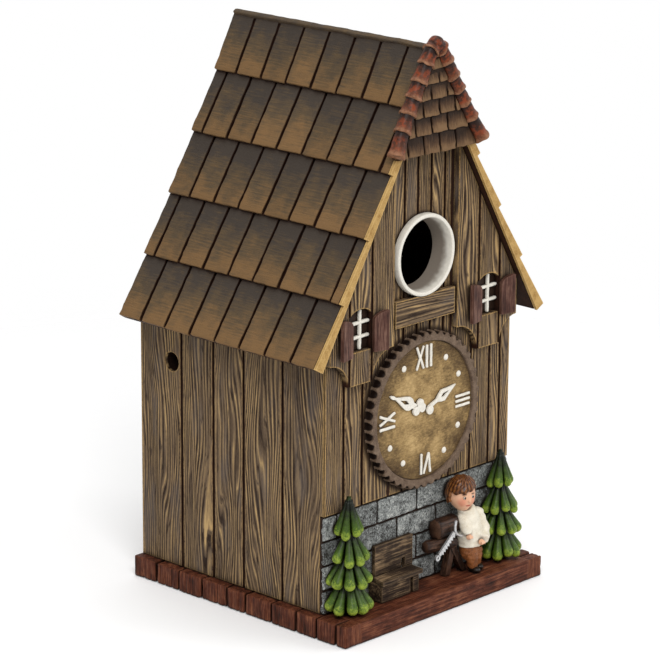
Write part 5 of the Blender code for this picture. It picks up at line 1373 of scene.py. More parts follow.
def make_dial_marks(height, paint):
    """Raised numerals and dots on the dial."""
    build = start_mesh()
    back = ON_WALL - DIAL_THICKNESS + MARK_SINK
    front = ON_WALL - DIAL_THICKNESS - height
    for number, (start, end, width) in enumerate(NUMERAL_STROKES):
        shifted = [(x, DIAL_HEIGHT + z) for x, z in (start, end)]
        stroke(build, *shifted, width, back, front, number)
    for angle in DOT_ANGLES:
        turn = math.radians(angle)
        centre = (DOT_RING * math.cos(turn), back, DIAL_HEIGHT + DOT_RING * math.sin(turn))
        verts = ball(build, centre, (DOT_RADIUS, height * 1.05, DOT_RADIUS), 20, 12)
        roughen(verts, MARK_TOOTH, angle)
        mark(build, verts)
    return seat(new_object("dial_marks", build, (paint,)), "white_paint")


# Fir trees

TREE_Y = 0.0560
TREES = (("left", -0.0525, 0.0556, 0.0120, 0.0), ("right", 0.0530, 0.0536, 0.0113, 0.5))
FROND_COUNTS = (6, 8, 9, 10)
FROND_TIPS = (0.640, 0.425, 0.225, 0.0)
FROND_ROOTS = (0.97, 0.72, 0.51, 0.33)
FROND_REACHES = (0.56, 0.83, 0.967, 1.0)
FROND_BULBS = (0.22, 0.23, 0.255, 0.275)
FROND_CAP = 0.80
FROND_START = 0.16
FROND_NECK = 0.32
FROND_LEAN = 0.06
FROND_TUCK = 0.45
FROND_JITTER = 0.02
FROND_SPREAD = (0.92, 1.08)
TRUNK_LEAST = 0.0009
TRUNK_SHARES = (0.0, 0.20, 0.34, 0.50, 0.60, 0.72, 0.88, 1.0)
TRUNK_RADII = (0.40, 0.46, 0.40, 0.36, 0.32, 0.24, 0.17, 0.08)


def grow_frond(build, axis, away, root, tip, reach, bulb, rng):
    """Drooping club: a narrow root that swells to a round glossy tip."""
    points, radii = [], []
    side = Vector((-away.y, away.x, 0))
    lean = rng.uniform(-FROND_LEAN, FROND_LEAN)
    stem = [(FROND_CAP * step / 9, 1.0) for step in range(9)]
    dome = []
    for turn in quarter_turn(8):
        dome.append((FROND_CAP + (1 - FROND_CAP) * math.sin(turn), max(math.cos(turn), 0.03)))
    for share, cap in stem + dome:
        out = FROND_START + (1 - FROND_START) * share
        drop = root + (tip - root) * share**0.92
        swing = side * lean * reach * share
        points.append(axis + away * (reach * out) + swing + Vector((0, 0, drop)))
        swell = FROND_NECK + (1 - FROND_NECK) * share**1.2
        radii.append(bulb * swell * cap)
    verts = sweep(build, points, radii, 18, 1.0, True, side)
    length = (points[-1] - points[0]).length
    start = points[0]
    way = (points[-1] - points[0]).normalized()
    mark(build, verts, 0.5, lambda vert: min(max((vert.co - start).dot(way) / length, 0), 1) ** 1.2)


def make_tree(name, node, x, height, spread, turn, paint):
    """Fir of four tiers of drooping fronds, flat against the wall behind."""
    rng = random.Random(int(abs(x) * 10000))
    build = start_mesh()
    floor = BASE_HEIGHT + GAP
    axis = Vector((x, -TREE_Y, floor))
    trunk = [axis + Vector((0, 0, share * height)) for share in TRUNK_SHARES]
    verts = sweep(build, trunk, [max(share * spread, TRUNK_LEAST) for share in TRUNK_RADII], 20)
    # The trunk, under the fronds, takes the darkest green as painted shade, its top a lighter one.
    mark(build, verts, 0.5, lambda vert: 0.25 if vert.co.z > floor + 0.9 * height else 0.0)
    for tier, count in enumerate(FROND_COUNTS):
        bulb = FROND_BULBS[tier] * spread
        reach = FROND_REACHES[tier] * spread - bulb * FROND_TUCK
        root = FROND_ROOTS[tier] * height
        tip = FROND_TIPS[tier] * height + bulb * FROND_TUCK
        for number in range(count):
            angle = math.tau * (number + turn * tier) / count - math.pi / 2
            away = Vector((math.cos(angle), math.sin(angle), 0))
            if axis.y + away.y * reach > ON_WALL + bulb / 2:
                continue
            jitter = rng.uniform(-FROND_JITTER, FROND_JITTER) * height
            size = bulb * rng.uniform(*FROND_SPREAD)
            grow_frond(build, axis, away, root, tip + jitter, reach, size, rng)
    for vert in build.verts:
        vert.co.y = min(vert.co.y, ON_WALL)
        vert.co.z = max(vert.co.z, floor)
    return seat(new_object(name, build, (paint,)), "fir_green", node)


# Bench, logs and saw

SHUTTERS = (
    "shutter_left_outer",
    "shutter_left_inner",
    "shutter_right_inner",
    "shutter_right_outer",
)
BENCH_NODES = ("bench_base", "bench_seat", "bench_back")
LOWER_LOG = (Vector((0.0005, -0.0555, 0.0280)), Vector((0.0175, -0.0590, 0.0280)))
LOWER_LOG_RADIUS = 0.0031
UPPER_LOG = (Vector((0.0070, -0.0559, 0.0350)), Vector((0.0203, -0.0559, 0.0350)))
UPPER_LOG_RADIUS = 0.0055
UPPER_LOG_FLAT = 0.0042 / UPPER_LOG_RADIUS
LOG_STEPS = 16
LOG_END = 0.94
LOG_RIDGES = 9
LOG_TOOTH = (0.00018, 380)


def make_log(name, node, ends, radius, flat, ridge_height, seed, bark, cut_wood):
    """Log with ridged bark and sawn ends."""
    build = start_mesh()
    low, high = ends
    along = high - low
    points = [low + along * (i / LOG_STEPS) for i in range(LOG_STEPS + 1)]
    radii = [radius * (LOG_END if i in (0, LOG_STEPS) else 1) for i in range(LOG_STEPS + 1)]
    verts = sweep(build, points, radii, 32, flat, True, UP)
    axis = along.normalized()
    for vert in verts:
        centre = low + axis * (vert.co - low).dot(axis)
        out = vert.co - centre
        turn = math.atan2(out.z, out.y)
        ridge = math.sin(turn * LOG_RIDGES + seed + 2 * noise.noise(vert.co * 260))
        vert.co += out.normalized() * (ridge_height * (ridge - 1))
    roughen(verts, LOG_TOOTH, seed)
    for face in build.faces:
        if len(face.verts) > 4:
            face.material_index = 1
    for vert in build.verts:
        vert.co.y = min(vert.co.y, ON_WALL)
    mark(build, build.verts)
    return seat(new_object(name, build, (bark, cut_wood)), "bark", node)


# Figurine

HEAD = Vector((0.0220, -0.0588, 0.0500))
HEAD_RADII = (0.0065, 0.0066, 0.0078)
FACING = Vector((-0.22, -0.97, -0.10)).normalized()
ACROSS = FACING.cross(UP).normalized()
CROWN = ACROSS.cross(FACING).normalized()
FACE_HILLS = (
    (0.0005, -0.25, 0.22, 0.48, 0.22),
    (0.0006, -0.80, 0.16, 0.0, 0.25),
    (-0.0005, 0.12, 0.13, 0.36, 0.2),
)
NOSE_RADII = (0.0008, 0.0008, 0.0010)
EAR_RADII = (0.0007, 0.0013, 0.0016)
EYE_RADII = (0.00085, 0.0004, 0.00075)
IRIS_RADII = (0.00055, 0.00028, 0.00060)
BROW_RADII = (0.00015, 0.00022, 0.0001)
LIP_RADII = (0.0001, 0.0003, 0.00033, 0.0003, 0.0001)
NECK_RADII = (0.0024, 0.0023)
NECK_FOOT = Vector((0.0252, -0.0590, 0.0395))
HAIR_LIFT = 0.0006
HAIR_THICKNESS = 0.0013
HAIR_FROM_WALL = 0.0002
CLOTH_FLAT = 0.86
JUMPER_X = 0.0280
FIGURE_Y = 0.0590
JUMPER_RADII = (0.0060, 0.0067, 0.0063, 0.0052, 0.0039)
JUMPER_HEIGHTS = (0.0235, 0.0290, 0.0350, 0.0400, 0.0427)
JUMPER_LEAN = (0.0, 0.0, -0.0008, -0.0022, -0.0036)
SLEEVES = (
    ((0.0228, -0.0590, 0.0385), (0.0222, -0.0622, 0.0335), (0.0225, -0.0632, 0.0313)),
    ((0.0332, -0.0590, 0.0385), (0.0364, -0.0608, 0.0292), (0.0312, -0.0655, 0.0270)),
)
SLEEVE_RADII = (0.0029, 0.0028, 0.0021)
CUFF_SWELL = 1.10
COLLAR_SHIFT = Vector((-0.0010, 0, 0.0022))
COLLAR_RADIUS = 0.0029
COLLAR_DIP = 0.0006
COLLAR_TUBE = 0.0007
WAIST_RADII = (0.0053, 0.0051, 0.0040)
LEG_RADII = (0.0031, 0.0030, 0.0024)
TROUSER_FOLD = 0.00035
SHOE_BALLS = (
    (-0.0020, 0.0011, (0.0020, 0.0026, 0.0014)),
    (0.0004, 0.0014, (0.0019, 0.0022, 0.0018)),
)
PALM_RADII = (0.0015, 0.0014, 0.0015)
FINGER_RADII = (0.00042, 0.00038)
FINGER_START = -0.0009
FINGER_PITCH = 0.0006
FINGER_CURL = Vector((0, -0.0006, -0.0012))
HANDS = (("left", (0.0222, -0.0638, 0.0299)), ("right", (0.0292, -0.0655, 0.0260)))
LEGS = (
    ((0.0276, -0.0604, 0.0215), (0.0276, -0.0612, 0.0175), (0.0284, -0.0610, 0.0128)),
    ((0.0324, -0.0594, 0.0215), (0.0324, -0.0596, 0.0175), (0.0330, -0.0588, 0.0128)),
)


def melt(build, voxel, passes):
    """Runs overlapping closed shapes together into one smooth skin."""
    raw = new_object("raw", build, ())
    joiner = raw.modifiers.new("Join", "REMESH")
    joiner.mode = "VOXEL"
    joiner.voxel_size = voxel
    smoother = raw.modifiers.new("Smooth", "SMOOTH")
    smoother.iterations = passes
    smoother.factor = 0.5
    skin = baked(raw)
    bpy.data.objects.remove(raw)
    joined = start_mesh()
    joined.from_mesh(skin)
    bpy.data.meshes.remove(skin)
    return joined


def smooth_path(points, radii, steps=8):
    """Points and radii along a smooth curve through the given ones."""
    points = [Vector(point) for point in points]
    made, sizes = [], []
    for i in range(len(points) - 1):
        before = points[max(i - 1, 0)]
        after = points[min(i + 2, len(points) - 1)]
        for step in range(steps):
            t = step / steps
            a = 2 * points[i]
            b = (points[i + 1] - before) * t
            c = (2 * before - 5 * points[i] + 4 * points[i + 1] - after) * t**2
            d = (3 * points[i] - before - 3 * points[i + 1] + after) * t**3
            made.append((a + b + c + d) / 2)
            sizes.append(radii[i] + (radii[i + 1] - radii[i]) * t)
    return [*made, points[-1]], [*sizes, radii[-1]]


def on_head(across, forward, up):
    """Point of the head from shares of its radii: to its side, its front and its crown."""
    a, b, c = HEAD_RADII
    return HEAD + ACROSS * (across * a) + FACING * (forward * b) + CROWN * (up * c)


def bump(value, centre, width):
    """Smooth hill: 1 at the centre, fading out over the width."""
    return math.exp(-(((value - centre) / width) ** 2))


def make_head(paint):
    """Rounded doll's head with small ears and a button nose."""
    build = start_mesh()
    verts = ball(build, HEAD, HEAD_RADII, 40, 28)
    for vert in verts:
        away = vert.co - HEAD
        up = away.dot(CROWN) / HEAD_RADII[2]
        front = away.dot(FACING) / HEAD_RADII[1]
        side = away.dot(ACROSS)
        narrow = 0.26 * max(-up, 0) ** 1.6
        vert.co -= ACROSS * side * narrow
        if front > 0:
            across = abs(side) / HEAD_RADII[0]
            rise = 0
            for height, level, tall, place, wide in FACE_HILLS:
                rise += height * bump(up, level, tall) * bump(across, place, wide)
            vert.co += FACING * rise
    throat = HEAD - CROWN * (HEAD_RADII[2] * 0.5)
    sweep(build, [throat, NECK_FOOT], NECK_RADII, 20)
    ball(build, on_head(0, 1.02, -0.10), NOSE_RADII, 12, 8)
    for side in (-1, 1):
        ball(build, on_head(side * 0.98, -0.08, -0.08), EAR_RADII, 12, 8)
    head = melt(build, 0.00028, 5)
    mark(head, head.verts)
    return seat(new_object("head", head, (paint,)), "skin", "figure_head")


def make_eyes(paint):
    """Eyes and brows; their tone tells white, brow and iris apart."""
    eyes = start_mesh()
    for side in (-1, 1):
        mark(eyes, ball(eyes, on_head(side * 0.36, 0.90, 0.10), EYE_RADII, 16, 10), 0.0)
        mark(eyes, ball(eyes, on_head(side * 0.35, 0.945, 0.10), IRIS_RADII, 14, 8), 1.0)
        brow = []
        for share in (0.20, 0.36, 0.54):
            brow.append(on_head(side * share, 0.95 - 0.22 * share, 0.27 + 0.03 * math.sin(share * 5)))
        path, sizes = smooth_path(brow, BROW_RADII, 4)
        mark(eyes, sweep(eyes, path, sizes, 8), 0.55)
    return seat(new_object("eyes", eyes, (paint,)), "skin")


def make_lips(paint):
    """Short smooth line of the mouth."""
    lips = start_mesh()
    line = []
    for share in (-0.22, -0.1, 0, 0.1, 0.22):
        line.append(on_head(share, 0.93 - 0.10 * abs(share), -0.44 + 0.14 * share**2))
    path, sizes = smooth_path(line, LIP_RADII, 4)
    mark(lips, sweep(lips, path, sizes, 10))
    return seat(new_object("lips", lips, (paint,)), "skin")


def make_hair(strand_depth, paint):
    """Short hair with a swept fringe, carved into strands."""
    build = start_mesh()
    radii = [size + HAIR_THICKNESS for size in HEAD_RADII]
    verts = ball(build, HEAD + CROWN * HAIR_LIFT, radii, 128, 72)
    for vert in verts:
        away = vert.co - HEAD
        up = away.dot(CROWN) / HEAD_RADII[2]
        front = away.dot(FACING) / HEAD_RADII[1]
        side = away.dot(ACROSS) / HEAD_RADII[0]
        turn = math.atan2(side, front - 0.25 * up)
        sweep_turn = turn + 0.75 * up - 0.25 * math.sin(up * 3 + side)
        strand = math.sin(sweep_turn * 10 + 0.7 * math.sin(up * 2.2 + side))
        strand += 0.35 * math.sin(sweep_turn * 27 + 1)
        vert.co += away.normalized() * (strand_depth * strand)
        hem = 0.58 - 0.18 * side if front > 0.15 else -0.46 + 0.5 * max(front + 0.1, 0)
        hem += 0.06 * math.sin(turn * 9 + 1)
        sink = min(max((hem - up) / 0.12, 0), 1)
        vert.co -= away * (0.30 * sink)
        if away.y > 0:
            vert.co.y = min(vert.co.y, ON_WALL - HAIR_FROM_WALL)

    def shade(vert):
        away = vert.co - HEAD
        return 0.5 + 0.5 * math.sin(math.atan2(away.dot(ACROSS), away.dot(FACING)) * 23)

    mark(build, verts, 0.5, shade)
    return seat(new_object("hair", build, (paint,)), "hair", "figure_hair")


def make_jumper(fold_depth, paint):
    """Round-necked jumper with full sleeves, folded at the elbows and over the hem."""
    build = start_mesh()
    centres = [(JUMPER_X + lean, -FIGURE_Y, z) for lean, z in zip(JUMPER_LEAN, JUMPER_HEIGHTS)]
    path, sizes = smooth_path(centres, JUMPER_RADII, 6)
    sweep(build, path, sizes, 28, CLOTH_FLAT, True, SIDEWAYS)
    for points in SLEEVES:
        path, sizes = smooth_path(points, SLEEVE_RADII, 8)
        sizes[-3:] = [size * CUFF_SWELL for size in sizes[-3:]]
        sweep(build, path, sizes, 20)
        ball(build, points[0], (SLEEVE_RADII[0],) * 3, 16, 10)
    neck_low = NECK_FOOT + COLLAR_SHIFT
    collar = []
    for step in range(33):
        turn = math.tau * step / 32
        x, y = COLLAR_RADIUS * math.cos(turn), COLLAR_RADIUS * math.sin(turn)
        collar.append(neck_low + Vector((x, y, -COLLAR_DIP * math.cos(turn))))
    sweep(build, collar, [COLLAR_TUBE] * len(collar), 10)
    skin = melt(build, 0.00032, 4)
    for vert in skin.verts:
        drape = vert.co * 330
        fold = noise.noise(Vector((drape.x * 0.7, drape.y * 0.7, drape.z * 1.5)))
        vert.co += vert.normal * (fold_depth * fold)
    mark(skin, skin.verts)
    return seat(new_object("jumper", skin, (paint,)), "jumper", "figure_jumper")


def make_trousers(paint):
    """Trousers with two bent legs and fine folds."""
    build = start_mesh()
    waist = [(JUMPER_X, -FIGURE_Y, 0.0240), (JUMPER_X, -FIGURE_Y, 0.0205)]
    waist.append((JUMPER_X + 0.0016, -FIGURE_Y, 0.0180))
    path, sizes = smooth_path(waist, WAIST_RADII, 5)
    sweep(build, path, sizes, 26, CLOTH_FLAT, True, SIDEWAYS)
    for points in LEGS:
        path, sizes = smooth_path(points, LEG_RADII, 8)
        sweep(build, path, sizes, 20)
    skin = melt(build, 0.00030, 4)
    for vert in skin.verts:
        fold = noise.noise(vert.co * 420 + Vector((0, 0, vert.co.z * 400)))
        vert.co += vert.normal * (TROUSER_FOLD * fold)
    mark(skin, skin.verts)
    return seat(new_object("trousers", skin, (paint,)), "trousers", "figure_trousers")


def make_shoes(paint):
    """Two round-toed shoes on the base."""
    floor = BASE_HEIGHT + GAP
    for (_, name), points in zip(SIDES, LEGS):
        build = start_mesh()
        x, y, _ = points[-1]
        for ahead, rise, radii in SHOE_BALLS:
            ball(build, (x, y + ahead, floor + rise), radii, 24, 16)
        skin = melt(build, 0.00025, 3)
        for vert in skin.verts:
            vert.co.z = max(vert.co.z, floor)
        mark(skin, skin.verts)
        seat(new_object("shoe_" + name, skin, (paint,)), "shoes", "figure_shoe_" + name)


def make_hand(name, centre, paint):
    """Small closed hand with four fingers wrapped forward."""
    build = start_mesh()
    centre = Vector(centre)
    ball(build, centre, PALM_RADII, 20, 12)
    for finger in range(4):
        low = centre + Vector((FINGER_START + FINGER_PITCH * finger, -0.0010, 0.0006))
        sweep(build, [low, low + FINGER_CURL], FINGER_RADII, 10)
    skin = melt(build, 0.0002, 3)
    mark(skin, skin.verts)
    return seat(new_object("hand_" + name, skin, (paint,)), "skin", "figure_hand_" + name)


def skin_paint(shade, blush_colour):
    """Painted skin with a little blush on the cheeks."""
    paint = Paint("skin", roughness=0.38, coat=0.25)
    place = paint.place()
    shadow = between(shade, blush_colour, 0.25)
    colour = paint.ramp(paint.mottle(place, 0.8, 3.0, 0.6), ((0.3, shadow), (0.7, shade)))
    for side in (-1, 1):
        cheek = on_head(side * 0.50, 0.82, -0.20) / MM
        node = paint.add("ShaderNodeVectorMath", {0: place, 1: cheek}, operation="DISTANCE")
        spread = paint.math("DIVIDE", node.outputs["Value"], 3.4)
        blush = paint.ramp(spread, ((0.25, 0.55), (1.0, 0.0)), True)
        colour = paint.blend(blush, colour, blush_colour)
    # Painted shade in the corners of the face, ears and hands.
    open_share = paint.ramp(paint.crevice(0.0012), ((0.25, 0.45), (0.80, 1.0)))
    colour = paint.darken(colour, open_share)
    return paint.done(colour, paint.mottle(place, 3.0, 2.0, 0.5), 0.00004)


def eye_paint():
    """White, iris and brow, told apart by their tone."""
    paint = Paint("eyes", roughness=0.2, coat=0.5)
    tone = paint.read("tone")
    colour = paint.ramp(tone, list(zip((0.05, 0.45, 0.62, 0.95), EYE_SHADES)))
    cloud = paint.mottle(paint.place(), 4.0, 2.0, 0.5)
    colour = paint.blend(0.15, colour, cloud, "MULTIPLY")
    return paint.done(colour)


def hair_paint(dark, middle, bright):
    """Glossy hair, dark between its strands."""
    paint = Paint("hair", roughness=0.32, coat=0.25)
    fade = paint.read("fade")
    cloud = paint.mottle(paint.place(), 0.7, 4.0, 0.65)
    value = paint.weigh(cloud, 0.9, fade, 0.35)
    colour = paint.ramp(value, ((0.35, dark), (0.62, middle), (0.85, bright)))
    # Painted shade between the strands.
    open_share = paint.ramp(paint.crevice(0.0010), ((0.30, 0.35), (0.85, 1.0)))
    colour = paint.darken(colour, open_share)
    return paint.done(colour, cloud, 0.0001)


def silver_paint():
    """Silver paint of the saw."""
    paint = Paint("silver paint", roughness=0.32, metallic=0.75)
    cloud = paint.mottle(paint.place(), 1.8, 4.0, 0.6)
    colour = paint.ramp(cloud, ((0.3, SILVER_DARK), (0.7, SILVER_LIGHT)))
    # Painted shade in the corners of the saw.
    open_share = paint.ramp(paint.crevice(0.0008), ((0.25, 0.35), (0.80, 1.0)))
    colour = paint.darken(colour, open_share)
    return paint.done(colour, cloud, 0.0001)


# Stage

CAMERA_PLACE = Vector((-1.0958, -1.0346, 0.5563))
CAMERA_AIM = Vector((0, 0, 0.1329))
CAMERA_ROLL = 0.36
CAMERA_LENS = 181.1
CAMERA_SHIFT = (-0.0148, -0.0302)
CAMERA_SENSOR = 36
CAMERA_NEAR = 0.05
CAMERA_FAR = 50
LAMPS = (
    ("key", (-0.75, -0.85, 1.15), 0.7),
    ("fill", (0.95, -0.95, 0.75), 0.8),
    ("top", (0.1, 0.3, 1.5), 1.0),
)
FLOOR_SIZE = 6.0
FLOOR_GLOW = 0.10
FLOOR_FADE = (0.20, 0.60)


def floor_material():
    """White floor that takes the shadow and fades into the white beyond it."""
    paint = Paint("floor", roughness=0.9, specular=0.0)
    place = paint.place()
    cloud = paint.mottle(place, 0.004, 2.0, 0.5)
    paint.done(paint.ramp(cloud, ((0.3, FLOOR_DARK), (0.7, FLOOR_LIGHT))))
    paint.shader.inputs["Emission Color"].default_value = (1, 1, 1, 1)
    paint.shader.inputs["Emission Strength"].default_value = FLOOR_GLOW
    reach = paint.add("ShaderNodeVectorMath", {0: place}, operation="LENGTH").outputs["Value"]
    far = paint.slope(reach, FLOOR_FADE[0] / MM, FLOOR_FADE[1] / MM)
    clear = paint.add("ShaderNodeBsdfTransparent").outputs[0]
    mixed = paint.add("ShaderNodeMixShader", {0: far, 1: paint.shader.outputs[0], 2: clear})
    surface = paint.tree.nodes["Material Output"].inputs["Surface"]
    paint.tree.links.new(mixed.outputs[0], surface)
    return paint.material


def set_floor():
    """Wide floor under the object."""
    build = bmesh.new()
    bmesh.ops.create_grid(build, x_segments=8, y_segments=8, size=FLOOR_SIZE)
    new_object("floor", build, (floor_material(),), smooth=False)


def set_world(ambient):
    """Soft light from all round; white where it is seen directly or mirrored."""
    world = bpy.data.worlds.new("Studio")
    bpy.context.scene.world = world
    world.use_nodes = True
    nodes = world.node_tree.nodes
    links = world.node_tree.links
    background = nodes["Background"]
    path = nodes.new("ShaderNodeLightPath")
    mix = nodes.new("ShaderNodeMix")
    mix.inputs[2].default_value = ambient
    mix.inputs[3].default_value = 1.0
    seen = path.outputs["Is Camera Ray"]
    for kind in ("Is Glossy Ray", "Is Transmission Ray"):
        either = nodes.new("ShaderNodeMath")
        either.operation = "MAXIMUM"
        links.new(seen, either.inputs[0])
        links.new(path.outputs[kind], either.inputs[1])
        seen = either.outputs[0]
    links.new(seen, mix.inputs[0])
    links.new(mix.outputs[0], background.inputs["Strength"])
    background.inputs["Color"].default_value = (1, 1, 1, 1)


def set_lamps(sizes):
    """Three soft lamps that face the object."""
    powers = (sizes.key_power, sizes.fill_power, sizes.top_power)
    for (name, place, size), power in zip(LAMPS, powers):
        lamp = bpy.data.lights.new(name, "AREA")
        lamp.size = size
        lamp.energy = power
        holder = bpy.data.objects.new(name, lamp)
        bpy.context.scene.collection.objects.link(holder)
        holder.location = place
        holder.rotation_euler = (CAMERA_AIM - Vector(place)).to_track_quat("-Z", "Y").to_euler()


def set_camera():
    """Camera at the angle of the photograph."""
    camera = bpy.data.objects.new("camera", bpy.data.cameras.new("camera"))
    bpy.context.scene.collection.objects.link(camera)
    camera.location = CAMERA_PLACE
    turn = (CAMERA_AIM - CAMERA_PLACE).to_track_quat("-Z", "Y").to_matrix()
    turn = turn @ Matrix.Rotation(math.radians(CAMERA_ROLL), 3, "Z")
    camera.rotation_euler = turn.to_euler()
    camera.data.lens = CAMERA_LENS
    camera.data.sensor_width = CAMERA_SENSOR
    camera.data.shift_x, camera.data.shift_y = CAMERA_SHIFT
    camera.data.clip_start = CAMERA_NEAR
    camera.data.clip_end = CAMERA_FAR
    bpy.context.scene.camera = camera
    bpy.context.scene.view_settings.view_transform = "Standard"


# Sizes and colours that a user would change

WING_GAP = 0.0209
CENTRE_JOINTS = (-0.0116, -0.0027, 0.0064, 0.0157)
FRONT_JOINTS = (-0.0512, -0.0388, -WING_GAP, *CENTRE_JOINTS, WING_GAP, 0.0358, 0.0491, 0.0567)
BACK_JOINTS = (-0.0512, -0.0386, -0.0120, 0.0130, 0.0386, 0.0512)
SIDE_JOINTS = (-0.0247, 0.0004, 0.0203, 0.0415)
WING_JOINTS = (-0.0513, -0.0365, 0.0365, 0.0513)
SIDE_FACE = -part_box("side_wall_left")[0][0]
SHADES = ("dark", "middle", "bright")
SIDES = ((-1, "left"), (1, "right"))
LENGTHS = {
    "shingle_joint": ("Groove between two shingles of the roof", 0.0015),
    "hood_joint": ("Groove between two shingles of the gable hood", 0.0010),
    "stone_joint": ("Mortar between two stones", 0.0010),
    "base_joint": ("Gap between two blocks of the base", 0.0011),
    "edge_rounding": ("Radius along the edges of boards and walls", 0.0003),
    "grain_pitch": ("Distance between the carved lines of the grain", 0.0016),
    "grain_depth": ("How deep the grain is carved", 0.0004),
    "timber_depth": ("How deep the bench and logs are carved", 0.0004),
    "bark_depth": ("Height of the ridges on the logs", 0.0002),
    "sleeve_depth": ("How far the entry sleeve runs into the wall", 0.0075),
    "ring_rounding": ("Radius along the edges of the entry ring", 0.0007),
    "numeral_height": ("How far numerals and dots stand off the dial", 0.0009),
    "scoop_depth": ("Depth of the scoops round the dial's frame", 0.0017),
    "fold_depth": ("Height of the folds in the jumper", 0.0006),
    "strand_depth": ("Height of the strands of hair", 0.00017),
}
LIGHTS = {
    "ambient": ("Strength of the light from all round", 0.40, "NONE"),
    "key_power": ("Power of the lamp on the left", 13),
    "fill_power": ("Power of the lamp on the right", 6),
    "top_power": ("Power of the lamp above", 7),
}
COLOURS = {
    "wall_dark": ("Brown wash between the lines of the grain", 44, 31, 22),
    "wall_middle": ("Grey-brown of the planks", 109, 90, 70),
    "wall_bright": ("Ochre brushed over the grain", 189, 157, 108),
    "timber_dark": ("Wash between the boards of the bench", 16, 10, 7),
    "timber_middle": ("Brown of the bench", 59, 46, 36),
    "timber_bright": ("Ochre brushed over the bench", 166, 138, 104),
    "log_dark": ("Near-black in the bark", 10, 6, 4),
    "log_middle": ("Brown of the bark and the sawhorse", 42, 27, 20),
    "log_bright": ("Brown brushed over the bark", 100, 70, 52),
    "base_dark": ("Near-black in the cuts of the base", 20, 10, 6),
    "base_middle": ("Red-brown of the base", 84, 42, 27),
    "base_bright": ("Light red-brown brushed over the base", 142, 90, 62),
    "shutter_dark": ("Wash in the grain of the shutters", 30, 17, 13),
    "shutter_middle": ("Purple-brown of the shutters", 80, 51, 43),
    "shutter_bright": ("Light brown brushed over the shutters", 136, 104, 88),
    "shingle_top": ("Slate grey-brown at the top of each shingle", 66, 58, 51),
    "shingle_middle": ("Brown between the top and the foot", 91, 75, 55),
    "shingle_foot": ("Orange-brown at the lower edge", 124, 95, 62),
    # Also painted as shade under the foot of each course of the roof.
    "shingle_joint": ("Dark red-brown between shingles", 36, 18, 10),
    "hood_top": ("Dark brown at the top of each small shingle", 44, 31, 22),
    "hood_middle": ("Brown of the small shingles", 82, 60, 43),
    "hood_foot": ("Ochre at the foot of each small shingle", 124, 96, 68),
    # Also painted as shade under the foot of each row of the hood.
    "hood_joint": ("Near-black between the small shingles", 26, 14, 9),
    # Painted shade at the neck of each tile, under the lip above.
    "clay_dark": ("Near-black under each clay tile", 34, 17, 11),
    "clay_middle": ("Red-brown of the clay tiles", 98, 56, 37),
    "clay_bright": ("Pale clay brushed on the lips", 148, 104, 76),
    "clay_heart": ("Orange-red in the middle of the tiles", 140, 60, 28),
    "verge_dark": ("Brown ochre of the verges", 146, 108, 56),
    "verge_bright": ("Pale ochre of the verges", 206, 170, 108),
    "stone_dark": ("Brown-grey in the hollows of the stones", 50, 46, 42),
    "stone_middle": ("Grey of the stones", 163, 167, 165),
    "stone_bright": ("Pale grey brushed over the stones", 227, 228, 222),
    # Painted shade at the roots of the fronds, under the tier above.
    "fir_dark": ("Near-black between the fronds", 12, 18, 7),
    "fir_middle": ("Green of the fronds", 68, 94, 26),
    "fir_bright": ("Yellow-green on the tips of the fronds", 146, 164, 58),
    "white": ("White of the entry ring, bars, hands and numerals", 238, 233, 221),
    # Brown of the wash and painted shade in the corners of white pieces, and down the entry sleeve.
    "white_wash": ("Brown left in the corners of white pieces", 80, 62, 46),
    "dial_dark": ("Dark brown clouds on the dial", 64, 46, 28),
    "dial_middle": ("Ochre of the dial", 150, 123, 80),
    "dial_bright": ("Pale ochre of the dial", 190, 160, 110),
    "frame_dark": ("Dark brown of the dial's frame", 70, 53, 42),
    "frame_bright": ("Light brown of the dial's frame", 130, 110, 92),
    "jumper_dark": ("Cream in the folds of the jumper", 206, 192, 166),
    "jumper_bright": ("Off-white of the jumper", 243, 237, 222),
    "trousers_dark": ("Dark brown in the folds of the trousers", 78, 42, 22),
    "trousers_bright": ("Brown of the trousers", 166, 104, 60),
    "hair_dark": ("Dark brown between the strands", 34, 16, 7),
    "hair_middle": ("Brown of the hair", 88, 49, 23),
    "hair_bright": ("Light brown on the strands", 140, 90, 47),
    "skin": ("Painted skin", 230, 184, 150),
    "blush": ("Red on the cheeks", 206, 112, 88),
}
# Rings of painted shade round the dial frame and the entry ring: centre height, inner and outer radius.
FRONT_SHADE_RINGS = ((DIAL_HEIGHT, 0.0380, 0.0408), (ENTRY_HEIGHT, 0.0192, 0.0212))


def label(name):
    return name.replace("_", " ").capitalize()


def colour_prop(name, description, red, green, blue):
    """Colour that a user would change."""
    return bpy.props.FloatVectorProperty(
        name=label(name),
        description=description,
        default=tint(red, green, blue),
        size=4,
        subtype="COLOR",
        min=0,
        max=1,
    )


def length_prop(name, description, default):
    """Length that a user would change."""
    return bpy.props.FloatProperty(
        name=label(name),
        description=description,
        default=default,
        unit="LENGTH",
        subtype="DISTANCE",
        min=0,
        precision=5,
    )


def light_prop(name, description, default, unit="POWER"):
    """Strength of a light."""
    return bpy.props.FloatProperty(
        name=label(name), description=description, default=default, unit=unit, min=0
    )


class BirdhouseSizes(bpy.types.PropertyGroup):
    """Sizes of the finish, and the strength of the light"""

    __annotations__ = {
        **{name: length_prop(name, *row) for name, row in LENGTHS.items()},
        **{name: light_prop(name, *row) for name, row in LIGHTS.items()},
    }


class BirdhouseColours(bpy.types.PropertyGroup):
    """Colours of the paints"""

    __annotations__ = {name: colour_prop(name, *row) for name, row in COLOURS.items()}


# Pieces as a user adds them


def dress(material, slot, *names, edge=0.0):
    """Paints nodes of the frame that keep their own shape."""
    for name in names:
        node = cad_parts[name]
        node.data.materials.clear()
        node.data.materials.append(material)
        if edge:
            soften(node, edge)


